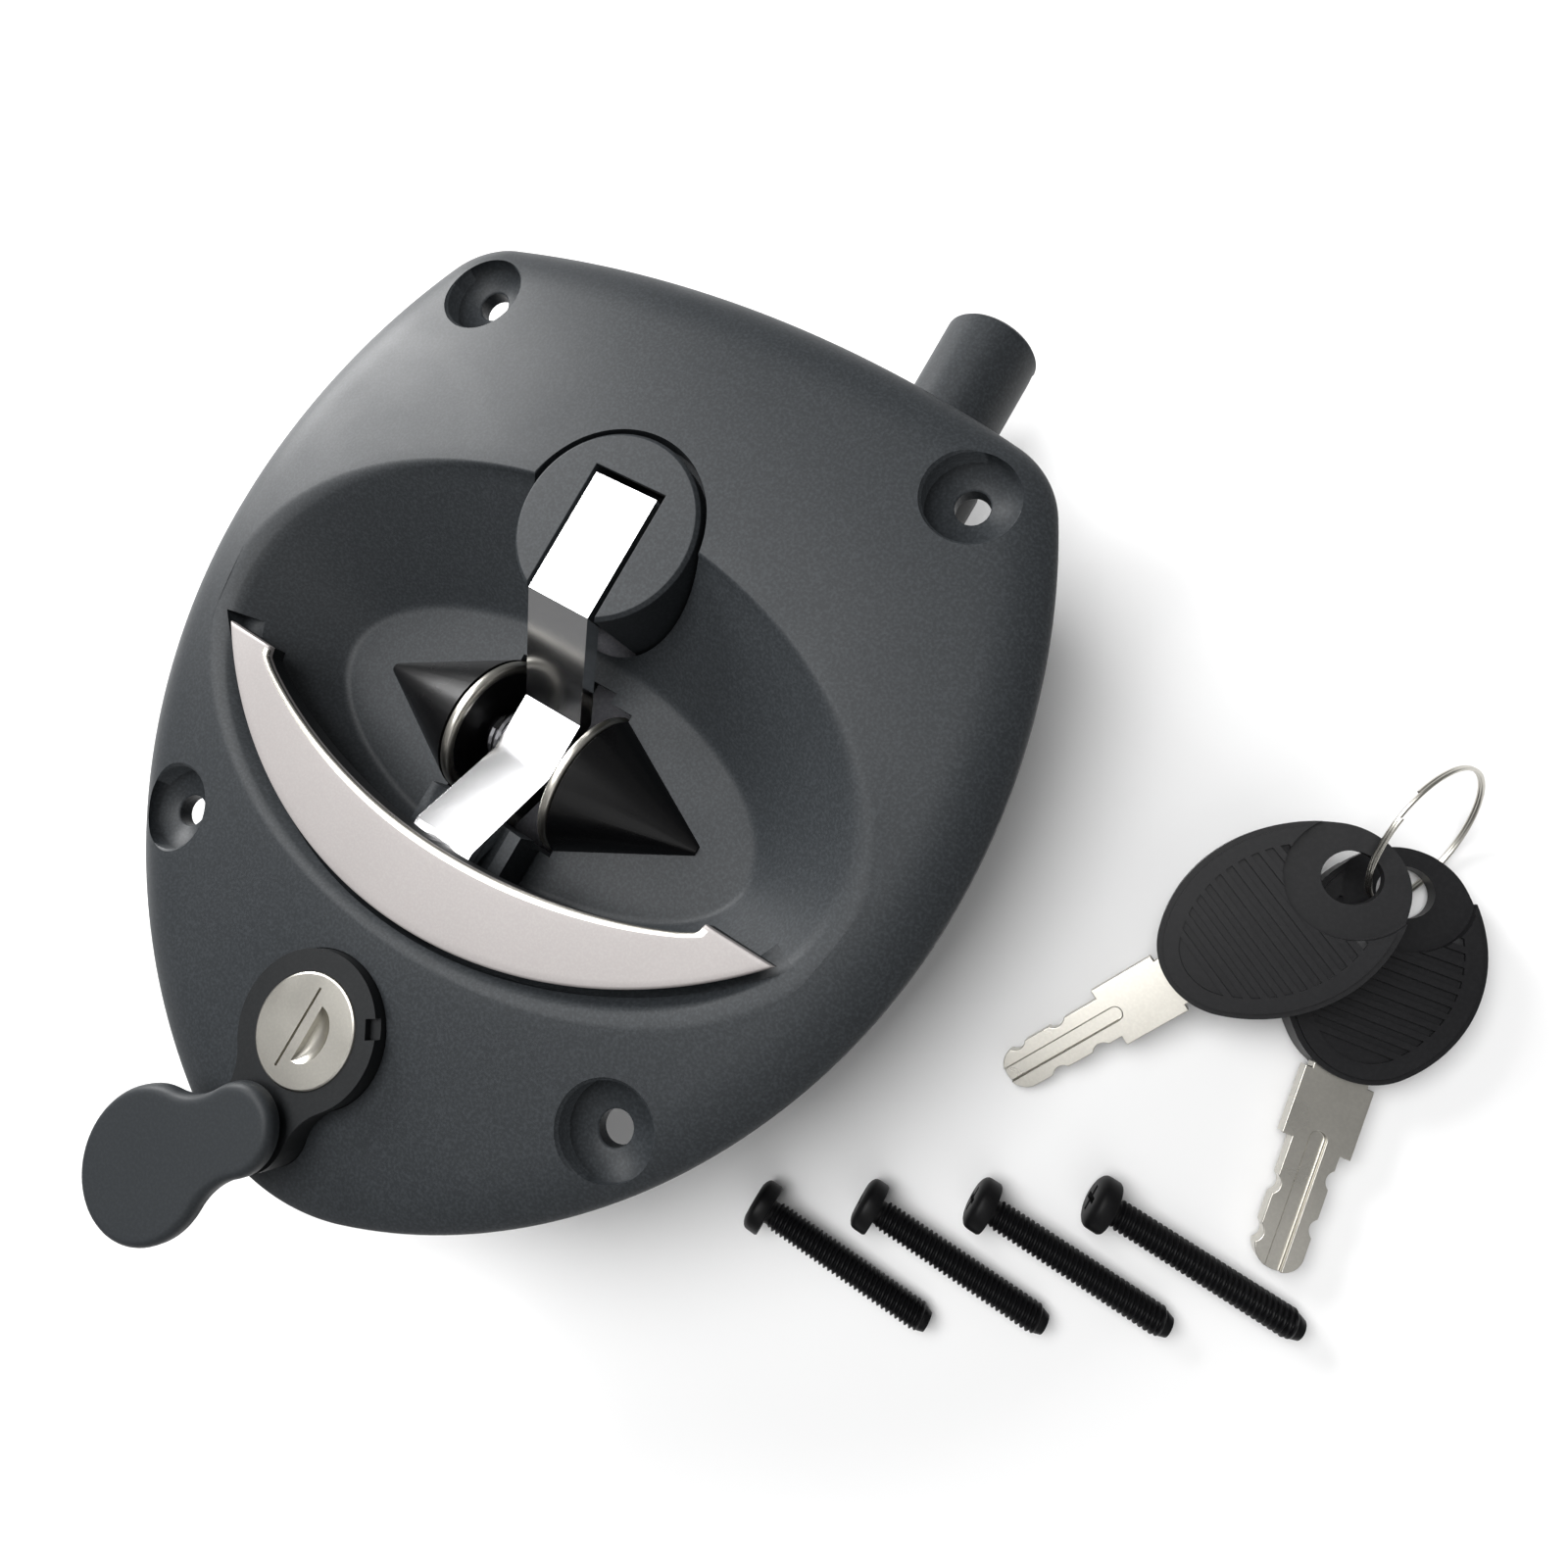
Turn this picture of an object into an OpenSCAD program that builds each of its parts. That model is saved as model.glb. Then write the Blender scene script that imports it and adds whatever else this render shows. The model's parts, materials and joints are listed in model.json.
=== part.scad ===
// Recessed trailer door lock: a domed shield plate with a rocking pull handle, a round
// spring bolt behind it, a key cylinder with a swivelling dust cover, two keys on a ring
// and four loose fixing screws. The origin is the centre of the four fixing holes on the
// flange's back face. X runs across the plate, Y towards the bolt, Z out of the door.

/* [Face plate] */
// Greatest width of the shield-shaped plate
plate_w = 124; // [120:1:128]
// Height of the crown above the flange's back face
crown_h = 8.5; // [8:0.25:9]
// Reach of the top edge from the widest line
top_reach = 57; // [56:0.5:59]
// Reach of the lower tip from the widest line
tip_reach = 77.5; // [77:0.5:79]
// Radius of the upper sides
side_r = 95; // [90:1:110]
// Radius of the lower sides
flank_r = 82; // [81:0.5:84]
// Radius of the top edge
top_r = 198; // [180:2:240]
// Radius of the two upper corners
corner_r = 13; // [12:0.5:16]
// Radius of the domed face
dome_r = 560; // [500:10:700]
// Thickness of the plate's skin
skin = 2.4; // [2:0.1:2.8]
// Width of the flat rim that meets the door
rim_w = 7; // [5:0.5:8]

/* [Fixing holes] */
// Distance between the left and right holes
hole_dx = 80; // [78:1:82]
// Distance between the upper and lower holes
hole_dy = 87; // [85:1:88]
// Radius of each fixing hole
hole_r = 2.25; // [2.1:0.05:2.6]
// Radius of each counterbore
sink_r = 6; // [5:0.1:6.4]
// Height of each counterbore's seat above the flange's back face
sink_z = 2.2; // [1.8:0.1:2.6]

/* [Bowl] */
// Half width of the bowl's rim
bowl_rx = 52.5; // [52:0.25:53.5]
// Half height of the bowl's rim
bowl_ry = 31; // [30.5:0.25:31.5]
// Place of the rim's middle along Y
bowl_y = -8.5; // [-9:0.25:-8]
// Half width of the bowl's floor
floor_rx = 36.8; // [36:0.2:38]
// Half height of the bowl's floor
floor_ry = 17; // [16:0.2:17.6]
// Place of the floor's middle along Y
floor_y = -11; // [-11.5:0.25:-10.5]
// Depth of the bowl below the crown
bowl_depth = 14; // [13.5:0.25:14.25]
// Thickness of the bowl's floor
bowl_wall = 3; // [2.4:0.2:3]

/* [Handle] */
// Width of the polished strap
strap_w = 10; // [9:0.25:10.4]
// Thickness of the polished strap
strap_t = 2.4; // [2:0.1:2.6]
// Radius of the crescent's outer edge
grip_out_r = 64.7; // [64:0.1:65.4]
// Radius of the crescent's inner edge
grip_in_r = 79.9; // [79:0.1:82]
// Lowest point of the crescent's outer edge
grip_low_y = -37.6; // [-37.8:0.1:-37]
// Width of the crescent in its middle
grip_w = 11.3; // [10.5:0.1:11.8]
// Line on which the crescent's two ends are cut
grip_cut_y = -16.5; // [-17:0.1:-16]
// Thickness of the crescent at its middle
grip_t = 3.5; // [3:0.1:3.6]
// Height of the bevel along the crescent's inner edge
grip_bevel = 1.3; // [0.8:0.1:1.6]
// Radius of the handle's axle
axle_r = 2.5; // [2:0.1:2.7]
// Place of the axle along Y
axle_y = -10.8; // [-11:0.1:-10.6]
// Height of the axle
axle_z = -8.3; // [-8.5:0.1:-8.2]
// Half length of the axle
axle_half = 18; // [17:0.5:19]
// Radius of the two side discs
disc_r = 10.8; // [10:0.1:11]
// Thickness of the two side discs
disc_t = 1.4; // [1:0.1:1.4]
// Place of each disc's outer face along X
disc_x = 9.8; // [9.8:0.1:10.1]
// Reach of each bearing cone from the lock's centre line
cone_reach = 28.6; // [28:0.2:30]

/* [Drum and plunger] */
// Radius of the drum that guides the strap
drum_r = 13; // [12.6:0.1:13.2]
// Place of the drum's middle along Y
drum_y = 20; // [19.8:0.1:20.4]
// Gap between the drum and the plate around it
drum_gap = 0.8; // [0.5:0.1:1]
// Width of the drum's slot
slot_w = 11.4; // [11.2:0.1:11.8]
// Gap on each side of the plunger in its slot
plunger_gap = 0.35; // [0.25:0.05:0.5]

/* [Bolt] */
// Radius of the round bolt
bolt_r = 6.9; // [6.5:0.05:6.95]
// Place of the bolt's middle along X
bolt_x = 27.8; // [27.5:0.1:28]
// Height of the bolt's middle
bolt_z = -9; // [-9.2:0.1:-9]
// Place of the bolt's far end along Y
bolt_end_y = 70.5; // [68:0.5:74]
// Travel of the bolt and of the plunger
travel = 8; // [7:0.25:8]
// Thickness of the sliding carrier
carrier_t = 3; // [2.6:0.1:3]

/* [Rear housing] */
// Depth of the housing behind the flange's back face
housing_depth = 26.5; // [26.5:0.5:30]
// Wall of the housing
housing_wall = 2; // [1.8:0.1:2]

/* [Key cylinder] */
// Distance of the cylinder below the origin
lock_drop = 54.7; // [54:0.1:55.5]
// Radius of the collar around the key face
collar_r = 10.3; // [10:0.1:10.6]
// Radius of the silver key face
face_r = 7.4; // [7:0.1:7.6]
// Radius of the threaded barrel
barrel_r = 8.2; // [8:0.1:8.6]
// Height of the collar's front above the flange's back face
collar_z = 8.2; // [8:0.1:8.4]
// Reach of the locking cam from the cylinder's axis
cam_reach = 17; // [15:0.25:17]

/* [Dust cover] */
// Distance from the cylinder's axis to the cover's rivet
cover_pivot = 13.8; // [13.6:0.1:14.4]
// Radius of the lobe that covers the key face
cover_r = 9.8; // [9:0.1:10]
// Radius of the lobe round the rivet
cover_small_r = 5.8; // [5.2:0.1:6]
// Thickness of the cover
cover_t = 2.1; // [1.8:0.1:2.4]
// Angle of the open cover, from closed
cover_angle = 141; // [130:1:150]

/* [Loose parts] */
// Length of each fixing screw below its head
screw_len = 25; // [20:1:30]
// Radius of each fixing screw
screw_r = 2; // [1.9:0.05:2.1]
// Length of each key's plastic bow
bow_len = 30.5; // [28:0.5:31]
// Width of each key's plastic bow
bow_w = 22; // [20:0.5:23]
// Thickness of each key's plastic bow
bow_t = 5; // [4.5:0.1:5.4]
// Length of each key's blade outside its bow
blade_len = 25; // [22:0.5:26]
// Radius of the wire of the key ring
ring_wire = 0.55; // [0.5:0.05:0.6]
// Radius of the key ring
ring_r = 9.5; // [9:0.1:9.6]

/* [Hidden] */
$fn = 96;
eps = 0.01;
run_gap = 0.05;      // radial clearance of every turning or sliding round fit
seat_gap = 0.1;      // clearance of a cover or clip over the face that it slides on
pose_gap = 0.3;      // clearance between pieces that move past each other
bevel_ease = 0.5;    // small bevel on turned ends
slate = [0.29, 0.31, 0.34];
gloss_black = [0.05, 0.05, 0.06];
steel = [0.8, 0.8, 0.82];

half_w = plate_w / 2;
tip_r = (flank_r * flank_r - pow(flank_r - half_w, 2) - tip_reach * tip_reach)
        / (2 * (flank_r - tip_reach));
tip_c = [0, -(tip_reach - tip_r)];
flank_c = [half_w - flank_r, 0];
side_c = [half_w - side_r, 0];
top_c = [0, top_reach - top_r];
corner_c = circles_meet(side_c, side_r - corner_r, top_c, top_r - corner_r);

floor_z = crown_h - bowl_depth;
rim_z = crown_h - 1.5;
rim_rise = rim_z - floor_z;
bowl_top_z = crown_h + 2;
bowl_out_w = bowl_wall * 2;     // the sloping wall is thicker when measured level

grip_out_c = [0, grip_low_y + grip_out_r];
grip_in_c = [0, grip_low_y + grip_w + grip_in_r];
grip_z = dome_z(0, grip_low_y) - grip_t;
grip_gap = 1.4;                 // gap between the crescent and the bowl's rim
grip_rock = 5;                  // room for the crescent to move towards the bowl's middle
arm_half = strap_w / 2 + 1.2;   // half width of the pocket for the strap's lower end

strap_top = crown_h - 0.2;
strap_flat_z = floor_z + 2;
strap_path = [[25.8, strap_top], [8.3, strap_top], [-4.3, strap_flat_z],
              [-13, strap_flat_z], [-25.5, grip_z], [-33, grip_z]];
barrel_tube_r = 4.3;            // tube on the strap round the axle
barrel_tube_half = 8.2;
strap_run = 2.2;                // room in the bowl's floor ahead of the strap's slope
grip_screw_r = 1.5;
grip_screw_y = [-28, -31.6];

cone_x = disc_x + pose_gap;     // inner face of each cone
cone_tip_r = 0.8;
cone_raise = 0.4;               // the cone's axis starts this far above the axle
cone_spare = 3;                 // length cut off square at the cone's inner face
cone_lift = atan2(floor_z - 0.4 - axle_z - cone_raise, cone_reach - cone_x);
cone_run = (cone_reach - cone_x) / cos(cone_lift);
cone_taper = (disc_r - cone_tip_r) / cone_run;
cone_foot = [11.5, 30];         // the foot under the bowl's floor, along X
cone_foot_t = 2.4;
cone_foot_half = 7;

drum_top = crown_h - 0.3;
drum_low = -13.5;
drum_flange_r = 19;
drum_flange_t = 2.4;
drum_flange_z = 4.4;            // flat pad inside the plate on which the flange bears
drum_screw_x = 14.6;
drum_screw_y = 28.4;
small_screw_r = 1.25;
small_head_r = 2.4;
small_head_h = 1.4;

ramp_sum = 4.5;                 // the carrier's ramp is the plane where Y plus Z is this
ramp_gap = 0.28;                // the plunger's nose is this much further along Z
plunger_half = slot_w / 2 - plunger_gap;
nose_y = [12.8, 20.8];
plunger_back_y = 26.2;
ridge_y = 22;
ridge_r = 2;
ridge_z = strap_top - strap_t - ridge_r - 0.2;

carrier_z = -17.5;
carrier_y = [6, 22];
block_half = 4.8;
block_top = -9;
tail_half = 4;
tail_y = -29;
bolt_back_y = 22;
pin_y = 27;
pin_r = 2;
pin_pad_z = -14.5;              // flat under the bolt on which the carrier's pad bears
pin_up = 7;

housing_x = [-37, 37];
housing_y = [-28, 47];
housing_step_y = 24;
housing_low_top = floor_z - bowl_wall - 0.5;
housing_floor = -housing_depth + housing_wall;
column_r = 3.6;
front_columns = [[-20, 39], [10, 42.6]];
rear_columns = [[-20, -22.4], [20, -22.4]];
guide_r = 8.9;
back_relief = 0.6;              // depth of the reliefs in the flange's back
relief_gap = 0.3;               // room round a piece inside its relief
corner_relief = [6, 12.6];      // width and length of the relief over each corner of the housing
guide_y = [38, 50];
rail_h = carrier_z - carrier_t - housing_floor - seat_gap;
spring_x = 20;
spring_r = 3;
spring_wire = 0.5;
spring_turns = 8;
spring_stop_y = [-19, -16];
spring_z = housing_floor + spring_r + spring_wire + 0.3;
rod_r = 1.6;
rod_y = -4;

lock_y = -lock_drop;
lock_seat_z = 3.6;
lock_low = -17;
plug_r = 6.2;
head_t = 1.2;
nut_flat = 24;
nut_t = 4;
nut_corner_r = nut_flat / 2 / cos(30);
cam_z = -18.3;
cam_t = 1.8;
cam_w = 8;
square_w = 6;
wafer_t = 1.1;
wafer_z = [-13, -9.5, -6, -2.5, 1];

pivot_y = lock_y - cover_pivot;
cover_z = collar_z + 0.9;
rivet_r = 1.6;
rivet_foot = 0.8;               // height of the rivet's hole above the collar's underside
notch_turn = 33;
notch_depth = 1.5;
notch_w = 2.6;
fillet_r = 8;

floor_level = -housing_depth;
screw_head_r = 3.6;
screw_head_h = 2.6;
screw_first = [58.5, -50];       // shoulder of the first loose screw
screw_step = [12.4, 8.7];       // from one loose screw to the next
blade_w = 8;
blade_tip_w = 5.6;
blade_t = 2.2;
bow_end_r = bow_w * 0.375;      // the oval is two end arcs joined by two flatter side arcs
bow_end_x = bow_len / 2 - bow_end_r;
bow_side_y = (bow_end_x * bow_end_x - pow(bow_w / 2 - bow_end_r, 2)) / (bow_w - 2 * bow_end_r);
bow_side_r = bow_w / 2 + bow_side_y;
bow_join = bow_end_x / (bow_side_r - bow_end_r);
eye_r = 3.3;
eye_x = bow_len / 2 - 5.6;
thin_r = 7.5;                   // reach of the thinned web round the eye
eye_t = 2.2;
key_a_tip = [77.4, -16];
key_a_turn = 62.5;
key_b_tip = [114.6, -19.4];
key_b_turn = 98;
ring_c = [105.15, 36.03, -17.77];
ring_tilt = [22.3, 54.8];          // turns about X and Y that bring the ring through both eyes
key_a_lean = 10.6;

// Height of the domed face over a point of the flange's plane
function dome_z(x, y) = crown_h - dome_r + sqrt(dome_r * dome_r - x * x - y * y);

// The right-hand meeting point of two circles
function circles_meet(c1, r1, c2, r2) =
    let (d = norm(c2 - c1),
         a = (r1 * r1 - r2 * r2 + d * d) / (2 * d),
         h = sqrt(r1 * r1 - a * a),
         u = (c2 - c1) / d,
         p = c1 + a * u,
         s = [-u[1], u[0]])
    (p + h * s)[0] > (p - h * s)[0] ? p + h * s : p - h * s;

// Points along an arc, without its last one
function arc(c, r, a0, a1, n) =
    [for (i = [0:n - 1]) c + r * [cos(a0 + (a1 - a0) * i / n), sin(a0 + (a1 - a0) * i / n)]];

function heading(from, to) = atan2(to[1] - from[1], to[0] - from[0]);

// Right half of the shield outline, from the lower tip to the top, moved in by inset
function shield_half(inset) =
    let (a_tip = heading(flank_c, tip_c),
         a_side = heading(side_c, corner_c),
         a_top = heading(top_c, corner_c))
    concat(arc(tip_c, tip_r - inset, -90, a_tip, 8),
           arc(flank_c, flank_r - inset, a_tip, 0, 14),
           arc(side_c, side_r - inset, 0, a_side, 9),
           arc(corner_c, corner_r - inset, a_side, a_top, 8),
           arc(top_c, top_r - inset, a_top, 90, 9),
           [[0, top_reach - inset]]);

function mirrored(half) = [for (i = [len(half) - 2:-1:1]) [-half[i][0], half[i][1]]];

module shield(inset) {
    half = shield_half(inset);
    polygon(concat(half, mirrored(half)));
}

module shield_layer(z, inset, height = eps) {
    translate([0, 0, z]) linear_extrude(height) shield(inset);
}

module dome(inset) {
    translate([0, 0, crown_h - dome_r]) sphere(dome_r - inset, $fn = 360);
}

// Pillow-edged slab with a domed top
module plate_blank() {
    intersection() {
        hull() {
            shield_layer(0, 0.4);
            shield_layer(0.5, 0, 1.5);
            shield_layer(3.2, 0.5);
            shield_layer(4.2, 1.4);
            shield_layer(5.2, 3.2);
            shield_layer(crown_h, 12);
        }
        dome(0);
    }
}

module at_fixings() {
    for (sx = [-1, 1], sy = [-1, 1]) translate([sx * hole_dx / 2, sy * hole_dy / 2, 0]) children();
}

// Room behind the skin, left solid round every boss
module plate_cavity() {
    difference() {
        intersection() {
            translate([0, 0, -1]) linear_extrude(crown_h) shield(rim_w);
            dome(skin);
        }
        at_fixings() translate([0, 0, -2]) cylinder(r = sink_r + 2.4, h = crown_h + 2);
        translate([0, lock_y, -2]) cylinder(r = collar_r + 2.4, h = crown_h + 2);
        translate([0, pivot_y, -2]) cylinder(r = cover_small_r + 3, h = crown_h + 2);
        translate([0, drum_y, drum_flange_z]) cylinder(r = drum_flange_r + 1.5, h = crown_h);
        for (p = front_columns) translate([p[0], p[1], -2]) cylinder(r = column_r + 1, h = crown_h + 2);
        for (s = [-1, 1]) rotate([0, 0, 90 + s * 62]) translate([45, -0.9, 1]) cube([30, 1.8, crown_h]);
    }
}

module bowl_ring(z, grow) {
    share = (z - floor_z) / rim_rise;
    translate([0, floor_y + (bowl_y - floor_y) * share, z])
        linear_extrude(eps)
            scale([floor_rx + (bowl_rx - floor_rx) * share + grow,
                   floor_ry + (bowl_ry - floor_ry) * share + grow])
                circle(1, $fn = 88);
}

module bowl_inside() {
    hull() {
        bowl_ring(floor_z, -0.9);
        bowl_ring(floor_z + 0.35, -0.25);
        bowl_ring(floor_z + 1.1, 0);
        bowl_ring(rim_z - 1.2, 0);
        bowl_ring(bowl_top_z, 1.6);
    }
}

// The bowl's wall ends inside the plate's skin
module bowl_outside() {
    intersection() {
        hull() {
            bowl_ring(floor_z - bowl_wall, bowl_out_w);
            bowl_ring(rim_z, bowl_out_w);
        }
        dome(skin / 2);
    }
}

// Plan of the crescent, moved out by grow
module crescent_plan(grow) {
    difference() {
        translate(grip_out_c) circle(grip_out_r + grow, $fn = 240);
        translate(grip_in_c) circle(grip_in_r - grow, $fn = 240);
        translate([-100, grip_cut_y + grow]) square([200, 100]);
    }
}

module grip_pocket() {
    for (step = [0, grip_rock / 2, grip_rock])
        translate([0, step, grip_z - 1.2]) linear_extrude(crown_h) crescent_plan(grip_gap);
}

module arm_pocket() {
    translate([-arm_half, -35, grip_z - strap_t - 1.2]) cube([2 * arm_half, 16, crown_h]);
}

// Cone that leans up so that its tip lies on the bowl's floor, cut square behind the disc
module cone_at(side, grow) {
    intersection() {
        translate([side * cone_x, axle_y, axle_z + cone_raise]) rotate([0, side * (90 - cone_lift), 0])
            translate([0, 0, -cone_spare])
                cylinder(r1 = disc_r + cone_taper * cone_spare + grow, r2 = cone_tip_r + grow,
                         h = cone_run + cone_spare);
        translate([side > 0 ? cone_x - grow : -cone_x + grow - 2 * disc_r, axle_y - 2 * disc_r,
                   axle_z - 2 * disc_r])
            cube([2 * disc_r, 4 * disc_r, 4 * disc_r]);
    }
}

// Shallow reliefs in the flange's back over the bolt, the housing's corners and the lock's nut
module back_reliefs() {
    translate([bolt_x - bolt_r - 2 * relief_gap, guide_y[0], -1])
        cube([2 * (bolt_r + 2 * relief_gap), plate_w / 2, 1 + back_relief]);
    for (x = [-housing_x[1] - relief_gap, housing_x[1] + relief_gap - corner_relief[0]])
        translate([x, housing_y[1] + relief_gap - corner_relief[1], -1])
            cube([corner_relief[0], corner_relief[1], 1 + back_relief]);
    translate([0, lock_y, -1]) cylinder(r = nut_corner_r + relief_gap, h = 1 + back_relief);
}

// The die-cast plate: shield, bowl, counterbores and bosses
module face_plate() {
    color(slate) difference() {
        union() {
            difference() {
                plate_blank();
                plate_cavity();
            }
            bowl_outside();
            translate([-arm_half - 2, -37, floor_z - bowl_wall]) cube([2 * arm_half + 4, 16, 9]);
        }
        bowl_inside();
        grip_pocket();
        arm_pocket();
        translate([0, drum_y, -20]) cylinder(r = drum_r + drum_gap, h = 40);
        translate([-cone_x, axle_y - disc_r - 0.6, floor_z - bowl_wall - 1])
            cube([2 * cone_x, 2 * disc_r + 1.2, bowl_wall + 3.5]);
        cone_at(1, run_gap);
        cone_at(-1, run_gap);
        back_reliefs();
        translate([-arm_half, axle_y + disc_r, floor_z - bowl_wall - 1])
            cube([2 * arm_half, strap_run, bowl_wall + 3.5]);
        at_fixings() {
            translate([0, 0, -1]) cylinder(r = hole_r, h = crown_h);
            translate([0, 0, sink_z]) cylinder(r = sink_r, h = crown_h);
        }
        translate([0, 0, lock_seat_z]) linear_extrude(crown_h) collar_plan(seat_gap);
        translate([0, lock_y, -1]) cylinder(r = barrel_r + 0.2, h = crown_h);
        for (p = front_columns) translate([p[0], p[1], -1]) cylinder(r = small_screw_r, h = 5);
        for (s = [-1, 1]) translate([s * drum_screw_x, drum_screw_y, drum_flange_z - 1])
            cylinder(r = small_screw_r, h = 2.6);
        for (p = rear_columns) translate([p[0], p[1], floor_z - bowl_wall - 1])
            cylinder(r = small_screw_r, h = 2.8);
    }
}

// Rectangle between two corners, with round corners
module round_rect(xs, ys, r) {
    translate([xs[0] + r, ys[0]]) square([xs[1] - xs[0] - 2 * r, ys[1] - ys[0]]);
    translate([xs[0], ys[0] + r]) square([xs[1] - xs[0], ys[1] - ys[0] - 2 * r]);
    for (x = [xs[0] + r, xs[1] - r], y = [ys[0] + r, ys[1] - r]) translate([x, y]) circle(r);
}

module housing_tray() {
    difference() {
        union() {
            translate([0, 0, -housing_depth]) linear_extrude(housing_depth + housing_low_top)
                round_rect(housing_x, housing_y, 5);
            translate([0, 0, housing_low_top - eps]) linear_extrude(-housing_low_top + eps)
                round_rect(housing_x, [housing_step_y, housing_y[1]], 5);
        }
        translate([0, 0, housing_floor]) linear_extrude(housing_depth)
            round_rect([housing_x[0] + housing_wall, housing_x[1] - housing_wall],
                       [housing_y[0] + housing_wall, housing_y[1] - housing_wall], 3);
    }
}

// Tray behind the plate: bolt guide, rails, spring stop and four screw columns
module rear_housing() {
    color(gloss_black) difference() {
        union() {
            housing_tray();
            translate([bolt_x, guide_y[0], bolt_z]) rotate([-90, 0, 0])
                cylinder(r = guide_r, h = guide_y[1] - guide_y[0]);
            for (p = front_columns) translate([p[0], p[1], housing_floor - eps])
                cylinder(r = column_r, h = -housing_floor + eps);
            for (p = rear_columns) translate([p[0], p[1], housing_floor - eps])
                cylinder(r = column_r, h = floor_z - bowl_wall - housing_floor + eps);
            for (x = [-3.5, 10.5, 29.5]) translate([x, carrier_y[0] - travel - 1, housing_floor - eps])
                cube([x < 0 ? 7 : 2.4, carrier_y[1] - carrier_y[0] + travel - (x < 0 ? 13 : 0), rail_h + eps]);
            translate([spring_x - 4, spring_stop_y[0], housing_floor - eps])
                cube([8, spring_stop_y[1] - spring_stop_y[0], 8]);
        }
        translate([bolt_x, guide_y[0] - 1, bolt_z]) rotate([-90, 0, 0])
            cylinder(r = bolt_r + run_gap, h = guide_y[1] - guide_y[0] + 2);
        translate([-tail_half - pose_gap, housing_y[0] - 1, carrier_z - carrier_t - pose_gap])
            cube([2 * tail_half + 2 * pose_gap, housing_wall + 2, carrier_t + 2 * pose_gap]);
        for (p = concat(front_columns, rear_columns)) translate([p[0], p[1], -housing_depth - 1]) {
            cylinder(r = small_screw_r + 0.3, h = housing_depth + 10);
            cylinder(r = small_head_r + 0.3, h = small_head_h + 1.4);
        }
        translate([spring_x, spring_stop_y[0] - 1, spring_z]) rotate([-90, 0, 0]) cylinder(r = rod_r, h = 6);
    }
}

// Screws that hold the housing to the plate, heads sunk in the housing's back
module housing_screws() {
    color(steel) for (p = concat(front_columns, rear_columns)) {
        top = p[1] > 0 ? 3.4 : floor_z - bowl_wall + 1.6;
        translate([p[0], p[1], -housing_depth + 0.4]) {
            cylinder(r = small_head_r, h = small_head_h);
            cylinder(r = small_screw_r, h = housing_depth - 0.4 + top);
        }
    }
}

// Upright turret whose slot takes the strap's upper end
module guide_drum() {
    color(slate) difference() {
        union() {
            translate([0, drum_y, drum_low]) cylinder(r = drum_r, h = drum_top - drum_low - bevel_ease);
            translate([0, drum_y, drum_top - bevel_ease])
                cylinder(r1 = drum_r, r2 = drum_r - bevel_ease, h = bevel_ease);
            intersection() {
                translate([0, drum_y, drum_flange_z - drum_flange_t])
                    cylinder(r = drum_flange_r, h = drum_flange_t);
                translate([-30, drum_y + 5.5, 0]) cube([60, 30, crown_h]);
            }
        }
        translate([slot_w / 2, 0, 0]) rotate([90, 0, -90]) linear_extrude(slot_w) drum_slot_plan();
        for (s = [-1, 1]) translate([s * drum_screw_x, drum_screw_y, 0])
            cylinder(r = small_screw_r + 0.15, h = crown_h);
    }
}

// Side view of the slot: the back wall leans to clear the strap's end as it swings in.
// The first number runs backwards because the outline is turned to face along X.
module drum_slot_plan() {
    tail = strap_path[0][0];
    polygon([[0, drum_top + 1], [-tail - 1, drum_top + 1], [-tail - 1.1, drum_top - 0.8],
             [-tail - 4.1, -1], [-tail - 4.1, -4.5], [-plunger_back_y - plunger_gap, -6],
             [-plunger_back_y - plunger_gap, drum_low - 1], [0, drum_low - 1]]);
}

module drum_screws() {
    color(steel) for (s = [-1, 1])
        translate([s * drum_screw_x, drum_screw_y, drum_flange_z - drum_flange_t - small_head_h]) {
            cylinder(r = small_head_r, h = small_head_h);
            cylinder(r = small_screw_r, h = small_head_h + drum_flange_t + 1.4);
        }
}

// Turns an outline drawn in Y and Z into a block that is centred on X
module across(width) {
    translate([-width / 2, 0, 0]) rotate([90, 0, 90]) linear_extrude(width) children();
}

// Block in the drum's slot: a round ridge under the strap and a sloping nose
module plunger() {
    nose_z = ramp_sum + ramp_gap - nose_y[0];
    low_z = ramp_sum + ramp_gap - nose_y[1];
    color([0.75, 0.72, 0.62]) across(2 * plunger_half) {
        polygon([[nose_y[0], ridge_z - 1.2], [nose_y[0], nose_z], [nose_y[1], low_z],
                 [plunger_back_y, low_z], [plunger_back_y, ridge_z - 1.2]]);
        translate([ridge_y, ridge_z]) circle(ridge_r);
        translate([ridge_y - ridge_r, ridge_z - 1.3]) square([2 * ridge_r, 1.3]);
    }
}

// Round spring bolt with a slanted nose on its door side
module bolt() {
    color(slate) difference() {
        union() {
            translate([bolt_x, bolt_back_y, bolt_z]) rotate([-90, 0, 0])
                cylinder(r = bolt_r, h = bolt_end_y - bolt_back_y - bevel_ease);
            translate([bolt_x, bolt_end_y - bevel_ease, bolt_z]) rotate([-90, 0, 0])
                cylinder(r1 = bolt_r, r2 = bolt_r - bevel_ease, h = bevel_ease);
        }
        translate([bolt_x - 10, bolt_end_y - 1.5, bolt_z - 1]) rotate([-48, 0, 0])
            translate([0, 0, -20]) cube([20, 20, 20]);
        translate([bolt_x - 10, bolt_back_y - 1, bolt_z - 20]) cube([20, 12, 20 + pin_pad_z - bolt_z]);
        translate([bolt_x, pin_y, pin_pad_z - 1]) cylinder(r = pin_r, h = pin_up + 1);
    }
}

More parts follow.
